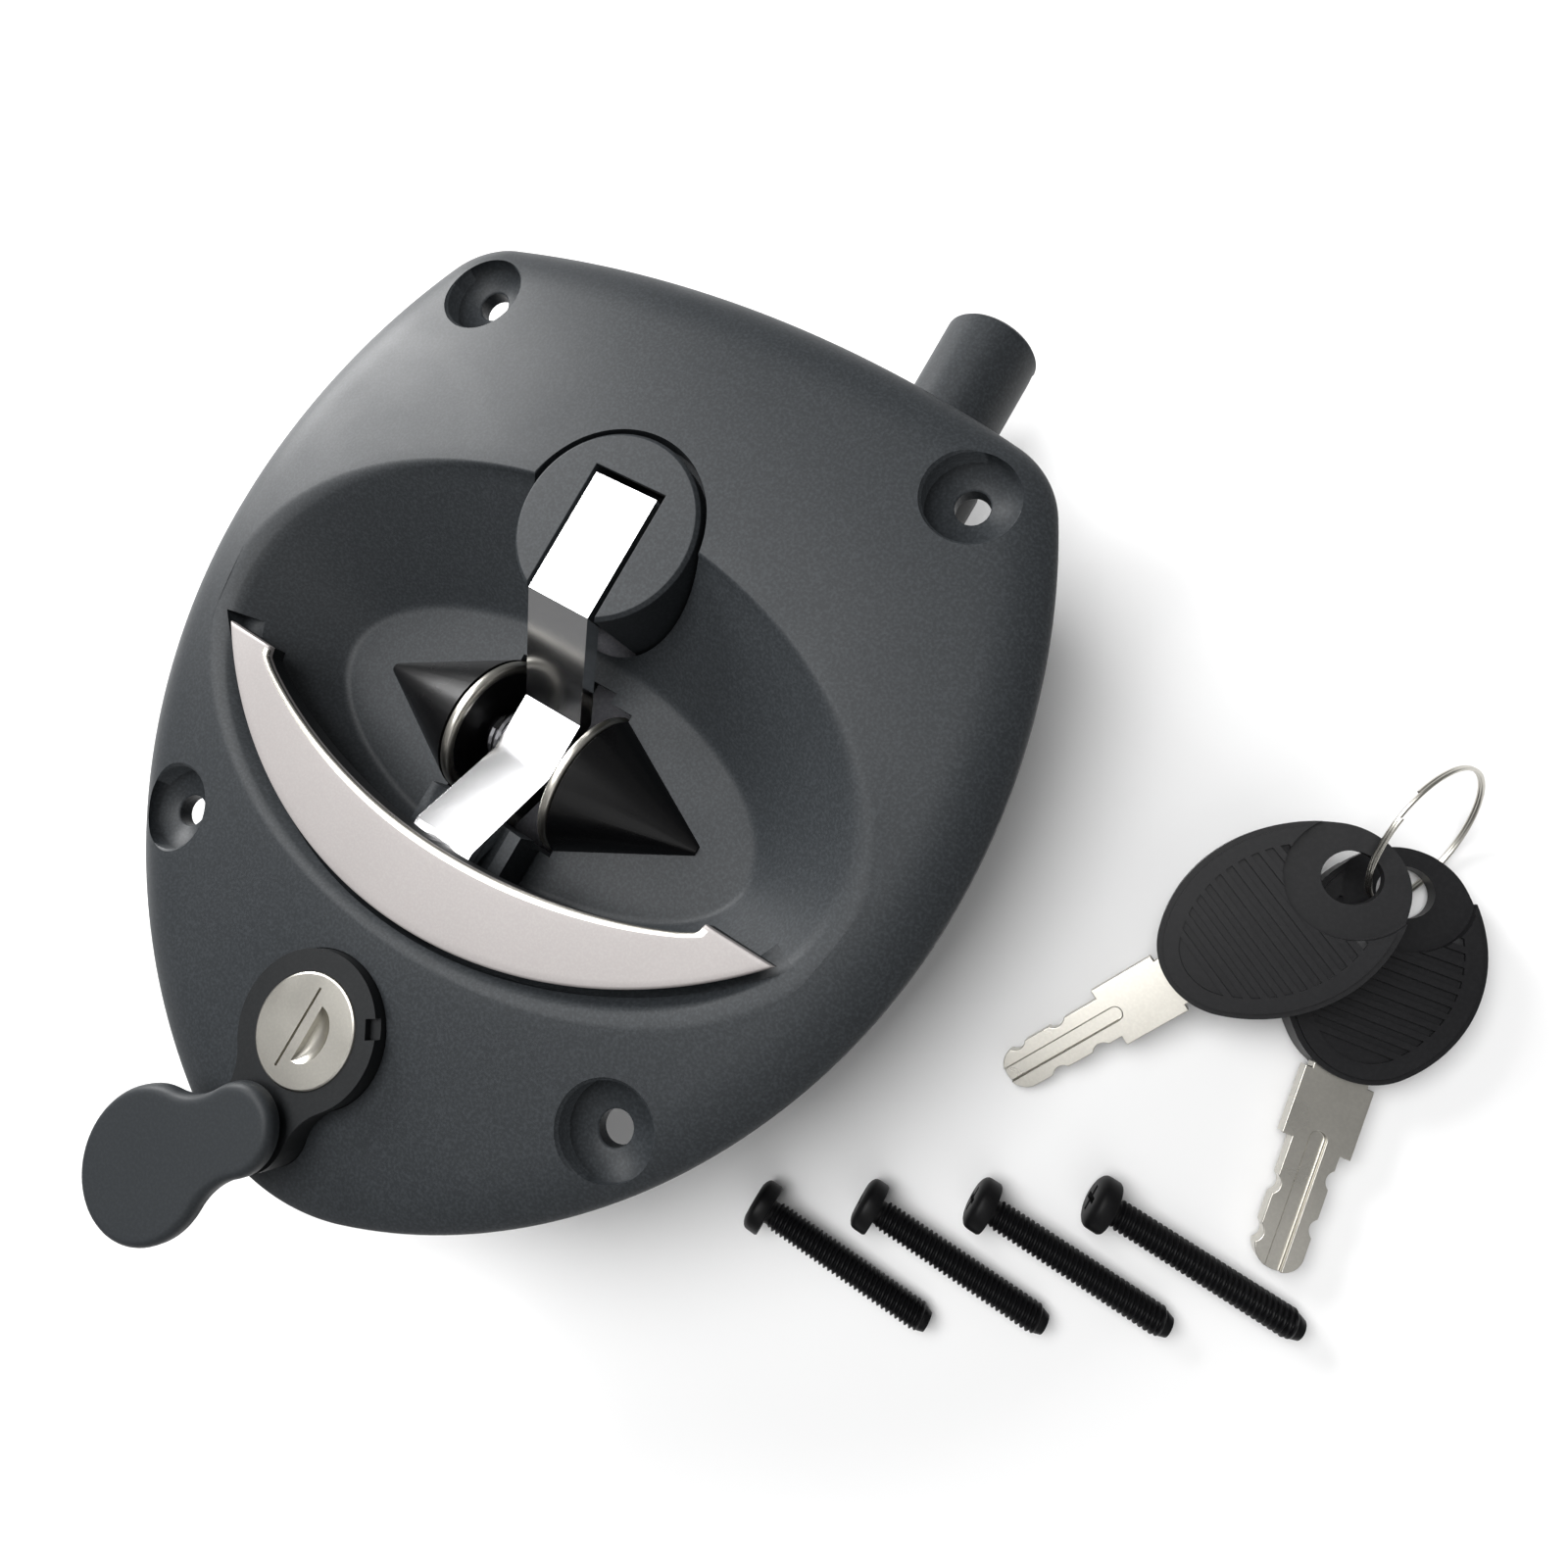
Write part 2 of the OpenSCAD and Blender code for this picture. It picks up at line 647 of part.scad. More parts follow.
// Sliding plate: ramp under the plunger, pad under the bolt and tail for the cam
module bolt_carrier() {
    base_z = carrier_z - carrier_t;
    color([0.62, 0.63, 0.65]) difference() {
        union() {
            translate([-block_half, carrier_y[0], base_z])
                cube([bolt_x + 6 + block_half, carrier_y[1] - carrier_y[0], carrier_t]);
            translate([bolt_x - 6.8, carrier_y[0], base_z]) cube([12.8, 26, carrier_t]);
            translate([-tail_half, tail_y, base_z])
                cube([2 * tail_half, carrier_y[0] - tail_y + 1, carrier_t]);
            across(2 * block_half)
                polygon([[carrier_y[0], base_z], [carrier_y[0], block_top],
                         [ramp_sum - block_top, block_top], [ramp_sum - carrier_z, carrier_z],
                         [ramp_sum - carrier_z, base_z]]);
            translate([bolt_x, pin_y, base_z]) cylinder(r = 4, h = pin_pad_z - base_z);
        }
        translate([bolt_x, pin_y, base_z - 1]) cylinder(r = pin_r, h = 20);
        translate([13, (carrier_y[0] + carrier_y[1]) / 2, base_z - 1]) cylinder(r = 4, h = carrier_t + 2);
    }
}

module bolt_pin() {
    color(steel) translate([bolt_x, pin_y, carrier_z - carrier_t])
        cylinder(r = pin_r, h = pin_pad_z + pin_up - carrier_z + carrier_t - 0.2);
}

// Round wire wound along Z: ring_n points a turn and wire_n points round the wire
function coil_points(radius, wire, turns, height, ring_n, wire_n) =
    [for (i = [0:turns * ring_n]) for (j = [0:wire_n - 1])
        let (a = 360 * i / ring_n, b = 360 * j / wire_n,
             r = radius + wire * cos(b))
        [r * cos(a), r * sin(a), height * i / (turns * ring_n) + wire * sin(b)]];

function coil_faces(steps, n) =
    concat([[for (j = [0:n - 1]) j]],
           [for (i = [0:steps - 1]) for (j = [0:n - 1])
               [i * n + j, (i + 1) * n + j, (i + 1) * n + (j + 1) % n, i * n + (j + 1) % n]],
           [[for (j = [n - 1:-1:0]) steps * n + j]]);

module coil(radius, wire, turns, height, ring_n, wire_n) {
    polyhedron(coil_points(radius, wire, turns, height, ring_n, wire_n),
               coil_faces(turns * ring_n, wire_n), convexity = 10);
}

// Compression spring that pushes the carrier and the bolt out
module bolt_spring() {
    length = carrier_y[0] - spring_stop_y[1] - 2 * spring_wire - 0.1;
    color(steel) translate([spring_x, spring_stop_y[1] + spring_wire + 0.05, spring_z])
        rotate([-90, 0, 0]) coil(spring_r, spring_wire, spring_turns, length, 18, 6);
}

module spring_rod() {
    color(steel) translate([spring_x, spring_stop_y[0] + 0.5, spring_z]) rotate([-90, 0, 0])
        cylinder(r = rod_r, h = rod_y - spring_stop_y[0] - 0.5);
}

// Unit normal on the left of the way from one point to the next
function left_normal(a, b) = let (d = (b - a) / norm(b - a)) [-d[1], d[0]];

// Corner of a bent strip's other face, mitred at each bend
function strip_corner(path, t, i) =
    i == 0 ? path[0] + t * left_normal(path[0], path[1]) :
    i == len(path) - 1 ? path[i] + t * left_normal(path[i - 1], path[i]) :
    let (n1 = left_normal(path[i - 1], path[i]), n2 = left_normal(path[i], path[i + 1]))
    path[i] + t * (n1 + n2) / (1 + n1 * n2);

// Bent polished strap with the tube that turns on the axle
module handle_strap() {
    color([0.9, 0.9, 0.92]) difference() {
        union() {
            across(strap_w) polygon(concat(strap_path,
                [for (i = [len(strap_path) - 1:-1:0]) strip_corner(strap_path, strap_t, i)]));
            translate([-barrel_tube_half, axle_y, axle_z]) rotate([0, 90, 0])
                cylinder(r = barrel_tube_r - 1.2, h = 2 * barrel_tube_half);
            translate([-strap_w / 2, axle_y, axle_z]) rotate([0, 90, 0])
                cylinder(r = barrel_tube_r, h = strap_w);
        }
        translate([-barrel_tube_half - 1, axle_y, axle_z]) rotate([0, 90, 0])
            cylinder(r = axle_r + run_gap, h = 2 * barrel_tube_half + 2);
        for (y = grip_screw_y) translate([0, y, grip_z - strap_t - 1])
            cylinder(r = grip_screw_r, h = strap_t + 2);
    }
}

// Crescent finger grip with a domed face and a bevelled inner edge
module crescent_grip() {
    color([0.85, 0.82, 0.8]) difference() {
        intersection() {
            translate([0, 0, grip_z]) linear_extrude(crown_h) crescent_plan(0);
            dome(0);
        }
        bevel_z = dome_z(0, grip_low_y + grip_w) - grip_bevel;
        translate([grip_in_c[0], grip_in_c[1], bevel_z])
            cylinder(r1 = grip_in_r, r2 = grip_in_r + 4 * grip_bevel, h = 4 * grip_bevel, $fn = 240);
        for (y = grip_screw_y) translate([0, y, grip_z - 1]) cylinder(r = grip_screw_r, h = 3);
    }
}

module grip_screws() {
    color(steel) for (y = grip_screw_y) translate([0, y, grip_z - strap_t - 0.9]) {
        cylinder(r = grip_screw_r + 0.2, h = 0.9);
        cylinder(r = grip_screw_r, h = strap_t + 0.9 + 2);
    }
}

module handle_axle() {
    color(steel) translate([-axle_half, axle_y, axle_z]) rotate([0, 90, 0])
        cylinder(r = axle_r, h = 2 * axle_half);
}

// Two torsion coils round the strap's tube, one on each side of the strap
module handle_spring() {
    wire = 0.45;
    length = barrel_tube_half - strap_w / 2 - 2 * wire - 0.3;
    color(steel) for (s = [-1, 1])
        translate([s * (strap_w / 2 + wire + 0.05), axle_y, axle_z]) rotate([0, s * 90, 0])
            coil(barrel_tube_r - 1.2 + wire + 0.1, wire, 2, length, 20, 6);
}

// Glossy cone that carries one end of the axle, with a foot under the bowl's floor
module bearing_cone(side) {
    top_z = floor_z - bowl_wall;
    color(gloss_black) difference() {
        union() {
            cone_at(side, 0);
            translate([side > 0 ? cone_foot[0] : -cone_foot[1], axle_y - cone_foot_half, top_z - cone_foot_t])
                cube([cone_foot[1] - cone_foot[0], 2 * cone_foot_half, cone_foot_t]);
        }
        translate([side * (cone_x - 1), axle_y, axle_z]) rotate([0, side * 90, 0])
            cylinder(r = axle_r, h = axle_half - cone_x + 1);
    }
}

module left_cone() { bearing_cone(-1); }
module right_cone() { bearing_cone(1); }

// Side disc with a raised bright rim
module side_disc(side) {
    color(steel) translate([side * (disc_x - disc_t), axle_y, axle_z]) rotate([0, side * 90, 0])
        difference() {
            cylinder(r = disc_r, h = disc_t);
            translate([0, 0, -1]) cylinder(r = axle_r + run_gap, h = disc_t + 2);
            translate([0, 0, -eps]) cylinder(r = disc_r - 1.6, h = 0.6);
        }
}

module left_disc() { side_disc(-1); }
module right_disc() { side_disc(1); }

// Plan of the collar: a round lock face joined to a smaller boss for the cover's rivet
module collar_plan(grow) {
    lobes_plan([0, lock_y], collar_r + grow, [0, pivot_y], cover_small_r + grow, fillet_r - grow);
}

// Two round lobes joined by hollow-sided flanks
module lobes_plan(c1, r1, c2, r2, rf) {
    right = circles_meet(c1, r1 + rf, c2, r2 + rf);
    left = [2 * c1[0] - right[0], right[1]];
    translate(c1) circle(r1);
    translate(c2) circle(r2);
    difference() {
        polygon([c1, right, c2, left]);
        translate(right) circle(rf);
        translate(left) circle(rf);
    }
}

// Collar, threaded barrel and bore of the key cylinder
module lock_body() {
    color([0.16, 0.17, 0.19]) difference() {
        union() {
            translate([0, 0, lock_seat_z]) linear_extrude(collar_z - lock_seat_z) collar_plan(0);
            translate([0, pivot_y, collar_z - eps]) cylinder(r = 4, h = cover_z - collar_z - seat_gap + eps);
            translate([0, lock_y, lock_low]) cylinder(r = barrel_r, h = lock_seat_z - lock_low + eps);
        }
        translate([0, lock_y, lock_low - 1]) cylinder(r = plug_r + run_gap, h = collar_z - lock_low + 2);
        translate([0, lock_y, collar_z - head_t]) cylinder(r = face_r + run_gap, h = head_t + 1);
        translate([0, pivot_y, lock_seat_z + rivet_foot]) cylinder(r = rivet_r, h = collar_z);
        translate([0, lock_y, collar_z - 1]) rotate([0, 0, notch_turn])
            translate([collar_r - notch_depth, -notch_w / 2, 0]) cube([2 * notch_depth, notch_w, 2]);
    }
}

// Turning plug with its keyway, finger scoop and square tail
module lock_plug() {
    face_z = collar_z + 0.3;
    color([0.88, 0.88, 0.9]) difference() {
        union() {
            translate([0, lock_y, collar_z - head_t + 0.05]) cylinder(r = face_r, h = face_z - collar_z + head_t - 0.05);
            translate([0, lock_y, cam_z + 0.1]) cylinder(r = plug_r, h = collar_z - head_t - cam_z);
            translate([-square_w / 2, lock_y - square_w / 2, cam_z - cam_t])
                cube([square_w, square_w, cam_t + 0.2]);
        }
        translate([-1, lock_y - 4.6, face_z - 21]) cube([1.6, 9.2, 22]);
        translate([0.6, lock_y, face_z + 1.6]) scallop();
        for (z = wafer_z) translate([-2.4, lock_y - plug_r - 1, z])
            cube([4.8, 2 * plug_r + 2, wafer_t + 0.1]);
        translate([0, lock_y, cam_z - cam_t - 1]) cylinder(r = 1.5, h = 5);
    }
}

// Shallow half-moon beside the keyway
module scallop() {
    intersection() {
        sphere(4.6);
        translate([0, -6, -6]) cube([6, 12, 12]);
    }
}

// Flat wafers that sit across the plug, each with its window for the key
module lock_wafers() {
    color([0.8, 0.65, 0.35]) for (i = [0:len(wafer_z) - 1])
        translate([0, lock_y + (i % 2 == 0 ? 0.1 : -0.1), wafer_z[i] + 0.05]) difference() {
            translate([-2.3, -plug_r + 0.5, 0]) cube([4.6, 2 * plug_r - 1, wafer_t]);
            translate([-1.2, -4.3, -1]) cube([2.4, 8.6, 3]);
        }
}

module lock_nut() {
    color(steel) translate([0, lock_y, back_relief - nut_t]) difference() {
        cylinder(r = nut_corner_r, h = nut_t, $fn = 6);
        translate([0, 0, -1]) cylinder(r = barrel_r + run_gap, h = nut_t + 2);
    }
}

// Flat cam on the plug's square tail, pointing aside while the lock is open
module lock_cam() {
    color(steel) translate([0, lock_y, cam_z - cam_t]) difference() {
        union() {
            cylinder(r = cam_w / 2 + 2, h = cam_t);
            translate([0, -cam_w / 2, 0]) cube([cam_reach - cam_w / 2, cam_w, cam_t]);
            translate([cam_reach - cam_w / 2, 0, 0]) cylinder(r = cam_w / 2, h = cam_t);
        }
        translate([-square_w / 2 - run_gap, -square_w / 2 - run_gap, -1])
            cube([square_w + 2 * run_gap, square_w + 2 * run_gap, cam_t + 2]);
    }
}

module cam_screw() {
    color(steel) translate([0, lock_y, cam_z - cam_t - 2]) {
        cylinder(r = 4.4, h = 2);
        cylinder(r = 1.5, h = 5);
    }
}

// Flat figure-eight cover, swung aside on its rivet
module dust_cover() {
    color(slate) translate([0, pivot_y, cover_z]) rotate([0, 0, cover_angle]) difference() {
        union() {
            linear_extrude(cover_t - 0.4) lobes_plan([0, cover_pivot], cover_r, [0, 0], cover_small_r, fillet_r);
            translate([0, 0, cover_t - 0.4 - eps]) linear_extrude(0.4 + eps)
                lobes_plan([0, cover_pivot], cover_r - 0.4, [0, 0], cover_small_r - 0.4, fillet_r + 0.4);
        }
        translate([0, 0, -1]) cylinder(r = rivet_r + run_gap, h = cover_t + 2);
        translate([0, 0, cover_t - 0.7]) cylinder(r = 2.9, h = 1);
    }
}

module cover_rivet() {
    color(slate) translate([0, pivot_y, lock_seat_z + rivet_foot]) {
        cylinder(r = rivet_r, h = cover_z + cover_t - 0.6 - lock_seat_z - rivet_foot);
        translate([0, 0, cover_z + cover_t - 0.6 - lock_seat_z - rivet_foot]) cylinder(r = 2.7, h = 0.6);
    }
}

// One pan-head machine screw along X, resting on its head's rim and its tip
module loose_screw() {
    tilt = asin((screw_head_r - screw_r) / screw_len);
    translate([0, 0, screw_head_r]) rotate([0, tilt, 0]) difference() {
        union() {
            rotate([0, 90, 0]) cylinder(r = screw_r, h = screw_len - 0.6);
            translate([screw_len - 0.6, 0, 0]) rotate([0, 90, 0])
                cylinder(r1 = screw_r, r2 = screw_r - 0.5, h = 0.6);
            translate([-screw_head_h, 0, 0]) rotate([0, 90, 0]) rotate_extrude() pan_head_plan();
        }
        for (a = [0, 90]) rotate([a, 0, 0]) translate([-screw_head_h - 1, -0.45, -1.9]) cube([2.4, 0.9, 3.8]);
    }
}

// Half section of a pan head, flat side at the screw's shoulder
module pan_head_plan() {
    intersection() {
        square([screw_head_r, screw_head_h]);
        translate([0, 5.3]) circle(5.9);
    }
}

// The four fixing screws lying beside the lock
module mounting_screws() {
    color(gloss_black) for (i = [0:3])
        translate([screw_first[0] + i * screw_step[0], screw_first[1] + i * screw_step[1],
                   floor_level + seat_gap / 2])
            loose_screw();
}

// Plan of a key's bow, its middle at the origin and its eye towards +X
module bow_plan(grow) {
    intersection() {
        translate([0, bow_side_y]) circle(bow_side_r + grow);
        translate([0, -bow_side_y]) circle(bow_side_r + grow);
        square([2 * bow_join * (bow_side_r + grow), 2 * bow_w], center = true);
    }
    for (s = [-1, 1]) translate([s * bow_end_x, 0]) circle(bow_end_r + grow);
}

// Oval plastic bow with finger ribs in a sunk field and a thin eye for the ring
module key_bow() {
    color(gloss_black) difference() {
        union() {
            translate([0, 0, 0.5]) linear_extrude(bow_t - 1) bow_plan(0);
            linear_extrude(bow_t) bow_plan(-0.7);
        }
        for (z = [bow_t - 0.5, -0.5]) translate([0, 0, z]) linear_extrude(1) difference() {
            bow_plan(-2.6);
            for (i = [-5:5]) translate([i * 1.7 - 2.2, -bow_w]) square([0.8, 2 * bow_w]);
            translate([eye_x, 0]) circle(eye_r + 2.2);
        }
        translate([eye_x, 0, -1]) cylinder(r = eye_r, h = bow_t + 2);
        translate([eye_x, 0, (bow_t + eye_t) / 2]) cylinder(r = thin_r, h = bow_t);
        translate([eye_x, 0, (bow_t - eye_t) / 2 - bow_t]) cylinder(r = thin_r, h = bow_t);
        translate([-bow_len / 2 - 1, -blade_w / 2 + 0.8, (bow_t - blade_t) / 2])
            cube([9, blade_w - 1.6, blade_t]);
    }
}

// Nickel blade with a milled groove, its shoulder against the bow and its tip towards -X
module key_blade() {
    root_x = -bow_len / 2;
    shank = 9;
    tip_x = root_x - blade_len;
    color([0.78, 0.75, 0.7]) translate([0, 0, (bow_t - blade_t) / 2]) difference() {
        union() {
            translate([root_x, -blade_w / 2 + 0.8, 0]) cube([7.9, blade_w - 1.6, blade_t]);
            translate([root_x - shank, -blade_w / 2, 0]) cube([shank, blade_w, blade_t]);
            translate([tip_x + blade_tip_w / 2, -blade_tip_w / 2, 0])
                cube([blade_len - shank - blade_tip_w / 2, blade_tip_w, blade_t]);
            translate([tip_x + blade_tip_w / 2, 0, 0]) cylinder(r = blade_tip_w / 2, h = blade_t);
        }
        for (z = [blade_t - 0.7, -1.3]) {
            translate([tip_x - 1, -0.9, z]) cube([blade_len - shank + 2, 1.8, 2]);
            translate([tip_x + blade_len - shank + 1, 0, z]) cylinder(r = 0.9, h = 2);
        }
        for (i = [0:3]) translate([tip_x + 3.6 + i * 3.1, (i % 2 == 0 ? 1 : -1) * (blade_tip_w / 2 + 0.9), -1])
            cylinder(r = 1.5, h = 5);
    }
}

// Places a key on the ground with its tip at a point, turned and leaning on the other key
module lay_key(tip, turn, lift, lean) {
    translate([tip[0], tip[1], floor_level + seat_gap / 2 + lift]) rotate([0, 0, turn]) rotate([0, -lean, 0])
        translate([bow_len / 2 + blade_len, 0, 0]) children();
}

// The leaning key stands on its blade's tip, so it drops by the bow's step over the blade
module lay_key_a() { lay_key(key_a_tip, key_a_turn, (blade_t - bow_t) / 2, key_a_lean) children(); }
module lay_key_b() { lay_key(key_b_tip, key_b_turn, 0, 0) children(); }
module key_a_bow() { lay_key_a() key_bow(); }
module key_a_blade() { lay_key_a() key_blade(); }
module key_b_bow() { lay_key_b() key_bow(); }
module key_b_blade() { lay_key_b() key_blade(); }

// Wire ring that joins the two keys
module key_ring() {
    color(steel) translate(ring_c) rotate([ring_tilt[0], 0, 0]) rotate([0, ring_tilt[1], 0])
        rotate_extrude() translate([ring_r, 0]) circle(ring_wire, $fn = 24);
}

face_plate();
rear_housing();
housing_screws();
guide_drum();
drum_screws();
plunger();
bolt();
bolt_carrier();
bolt_pin();
bolt_spring();
spring_rod();
handle_strap();
crescent_grip();
grip_screws();
handle_axle();
handle_spring();
left_cone();
right_cone();
left_disc();
right_disc();
lock_body();
lock_plug();
lock_wafers();
lock_nut();
lock_cam();
cam_screw();
dust_cover();
cover_rivet();
mounting_screws();
key_a_bow();
key_a_blade();
key_b_bow();
key_b_blade();
key_ring();
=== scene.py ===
"""Recessed trailer door lock: dressed for a studio view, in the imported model's own frame."""

import json
import logging
from dataclasses import dataclass
from enum import Enum
from math import acos, asin, atan2, cos, hypot, pi, radians, sin, sqrt
from typing import Any, Callable, Iterable, Sequence

import bmesh
import bpy
from bpy.types import Material, Mesh, Node, NodeSocket, NodeTree, Object
from mathutils import Matrix, Vector
from mathutils.bvhtree import BVHTree
from mathutils.interpolate import poly_3d_calc


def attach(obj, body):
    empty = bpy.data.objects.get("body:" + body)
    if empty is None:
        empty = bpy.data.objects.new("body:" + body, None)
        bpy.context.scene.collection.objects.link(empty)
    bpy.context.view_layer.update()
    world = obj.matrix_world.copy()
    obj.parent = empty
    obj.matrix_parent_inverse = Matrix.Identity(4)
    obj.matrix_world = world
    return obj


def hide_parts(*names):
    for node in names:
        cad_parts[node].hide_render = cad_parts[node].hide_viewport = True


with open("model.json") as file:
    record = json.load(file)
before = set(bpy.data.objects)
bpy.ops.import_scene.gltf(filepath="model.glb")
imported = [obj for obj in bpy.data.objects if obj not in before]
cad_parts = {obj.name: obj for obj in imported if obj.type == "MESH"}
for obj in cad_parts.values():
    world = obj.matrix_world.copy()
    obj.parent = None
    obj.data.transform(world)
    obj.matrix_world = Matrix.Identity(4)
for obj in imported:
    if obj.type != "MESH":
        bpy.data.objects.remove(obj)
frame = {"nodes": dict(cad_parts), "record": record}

log = logging.getLogger("door_lock")
MM = 0.001
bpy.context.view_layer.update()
Point = tuple[float, float, float]
Colour = tuple[float, float, float]
Pair = tuple[float, float]
Ring = list[Point]

COARSE_SCALE = 0.22  # scale of the grain's waves, as a share of the fine grain's
FLECK_BAND = (0.42, 0.68)  # noise values between which a fleck fades in
HANDLING_SCALE = 45.0
LINE_SCALE = 1800.0
BEVEL_FROM = radians(38)  # edges sharper than this are eased
RING_START = 2.6  # where the split ring's wire begins, in radians
SAME_SPOT = 1e-6  # metres within which corners of a solid are one
SAME_FACE = 4e-6  # metres within which a face still lies on its blank
SAME_SLOPE = 0.985  # cosine from which a face still follows its blank
INTO_FACE = 0.002  # share of the way to a face's middle at which its blank is looked up

# The plate's face in millimetres: its highest point and the radius of its dome.
CROWN = 8.5
DOME_R = 560.0
# The crescent's plan in millimetres: centre height and radius of both edges, and the line that ends them.
GRIP_OUTER = (27.1, 64.7)
GRIP_INNER = (53.6, 79.9)
GRIP_CUT = -16.5
QUARTER = (0.0, 0.4, 0.8, 1.2, pi / 2)  # a quarter turn in steps, in radians


class Body(Enum):
    """The rigid bodies that pieces ride on."""

    CASE = "lock_case"
    HANDLE = "handle"
    BOLT = "bolt_slide"
    PLUG = "key_plug"
    COVER = "dust_cover"


class Lay(Enum):
    """Direction of the fine lines that polishing or drawing leaves."""

    ALONG_X = (0.06, 1.0, 1.0)
    ALONG_Y = (1.0, 0.06, 1.0)
    EVEN = (1.0, 1.0, 1.0)


class Graph:
    """Adds nodes to one tree and links them."""

    def __init__(self, tree: NodeTree) -> None:
        """Keeps the tree that nodes are added to."""
        self.tree = tree

    def feed(self, node: Node, inputs: dict[Any, Any]) -> None:
        """Sets a node's inputs to values, or links them to output sockets.

        Args:
            node: the node to feed.
            inputs: a value or an output socket for each input, by name or index.
        """
        for name, value in inputs.items():
            if isinstance(value, NodeSocket):
                self.tree.links.new(value, node.inputs[name])
            else:
                node.inputs[name].default_value = value

    def add(self, kind: str, inputs: dict[Any, Any] | None = None, **settings: Any) -> Node:
        """Adds one node.

        Args:
            kind: the node's Blender type.
            inputs: what its inputs are fed.
            settings: the node's own properties.

        Returns:
            The new node.
        """
        node = self.tree.nodes.new(kind)
        for name, value in settings.items():
            setattr(node, name, value)
        self.feed(node, inputs or {})
        return node

    def group(self, tree: NodeTree, inputs: dict[Any, Any]) -> Any:
        """Adds a shader group and gives its outputs."""
        return self.add("ShaderNodeGroup", inputs, node_tree=tree).outputs


def shader_group(name: str, inputs: Sequence[str], outputs: Sequence[str]) -> tuple[Graph, Any, Node]:
    """Starts a shader node group.

    Args:
        name: the group's name.
        inputs: its inputs' names; Coordinates and Lay are vectors, the rest are numbers.
        outputs: its outputs' names, all numbers.

    Returns:
        Its graph, its input node's outputs and its output node.
    """
    tree = bpy.data.node_groups.new(name, "ShaderNodeTree")
    for way, labels in (("INPUT", inputs), ("OUTPUT", outputs)):
        for label in labels:
            kind = "NodeSocketVector" if label in ("Coordinates", "Lay") else "NodeSocketFloat"
            tree.interface.new_socket(name=label, in_out=way, socket_type=kind)
    graph = Graph(tree)
    return graph, graph.add("NodeGroupInput").outputs, graph.add("NodeGroupOutput")


def build_grain() -> NodeTree:
    """Fine cast or moulded grain as a height and a fleck mask.

    Returns:
        The group.
    """
    g, start, end = shader_group("fine_grain", ("Coordinates", "Scale", "Coarseness"), ("Height", "Fleck"))
    spot = start["Coordinates"]
    fine = g.add("ShaderNodeTexNoise", {"Vector": spot, "Scale": start["Scale"], "Detail": 3.0})
    wide = g.add("ShaderNodeMath", {0: start["Scale"], 1: COARSE_SCALE}, operation="MULTIPLY")
    waves = g.add("ShaderNodeTexNoise", {"Vector": spot, "Scale": wide.outputs[0], "Detail": 2.0})
    pair = {2: fine.outputs["Fac"], 3: waves.outputs["Fac"]}
    mixed = g.add("ShaderNodeMix", {"Factor": start["Coarseness"], **pair})
    low, high = FLECK_BAND
    fleck = g.add("ShaderNodeMapRange", {"Value": fine.outputs["Fac"], 1: low, 2: high, 3: 0.0, 4: 1.0})
    g.feed(end, {"Height": mixed.outputs[0], "Fleck": fleck.outputs[0]})
    return g.tree


def build_handling() -> NodeTree:
    """Slow change of gloss from handling, between two roughness values.

    Returns:
        The group.
    """
    takes = ("Coordinates", "Scale", "Smooth", "Rough")
    g, start, end = shader_group("handling_gloss", takes, ("Roughness",))
    where = {"Vector": start["Coordinates"], "Scale": start["Scale"]}
    noise = g.add("ShaderNodeTexNoise", {**where, "Detail": 4.0, "Distortion": 0.4})
    ends = {1: 0.3, 2: 0.7, 3: start["Smooth"], 4: start["Rough"]}
    spread = g.add("ShaderNodeMapRange", {"Value": noise.outputs["Fac"], **ends})
    g.feed(end, {"Roughness": spread.outputs[0]})
    return g.tree


def build_draw_lines() -> NodeTree:
    """Hairlines of a drawn or polished metal surface.

    Returns:
        The group.
    """
    g, start, end = shader_group("draw_lines", ("Coordinates", "Lay", "Scale"), ("Height",))
    both = {0: start["Coordinates"], 1: start["Lay"]}
    along = g.add("ShaderNodeVectorMath", both, operation="MULTIPLY").outputs[0]
    noise = g.add("ShaderNodeTexNoise", {"Vector": along, "Scale": start["Scale"], "Detail": 5.0})
    g.feed(end, {"Height": noise.outputs["Fac"]})
    return g.tree


@dataclass(frozen=True)
class SharedEffects:
    """The node groups that more than one material uses."""

    grain: NodeTree
    handling: NodeTree
    lines: NodeTree


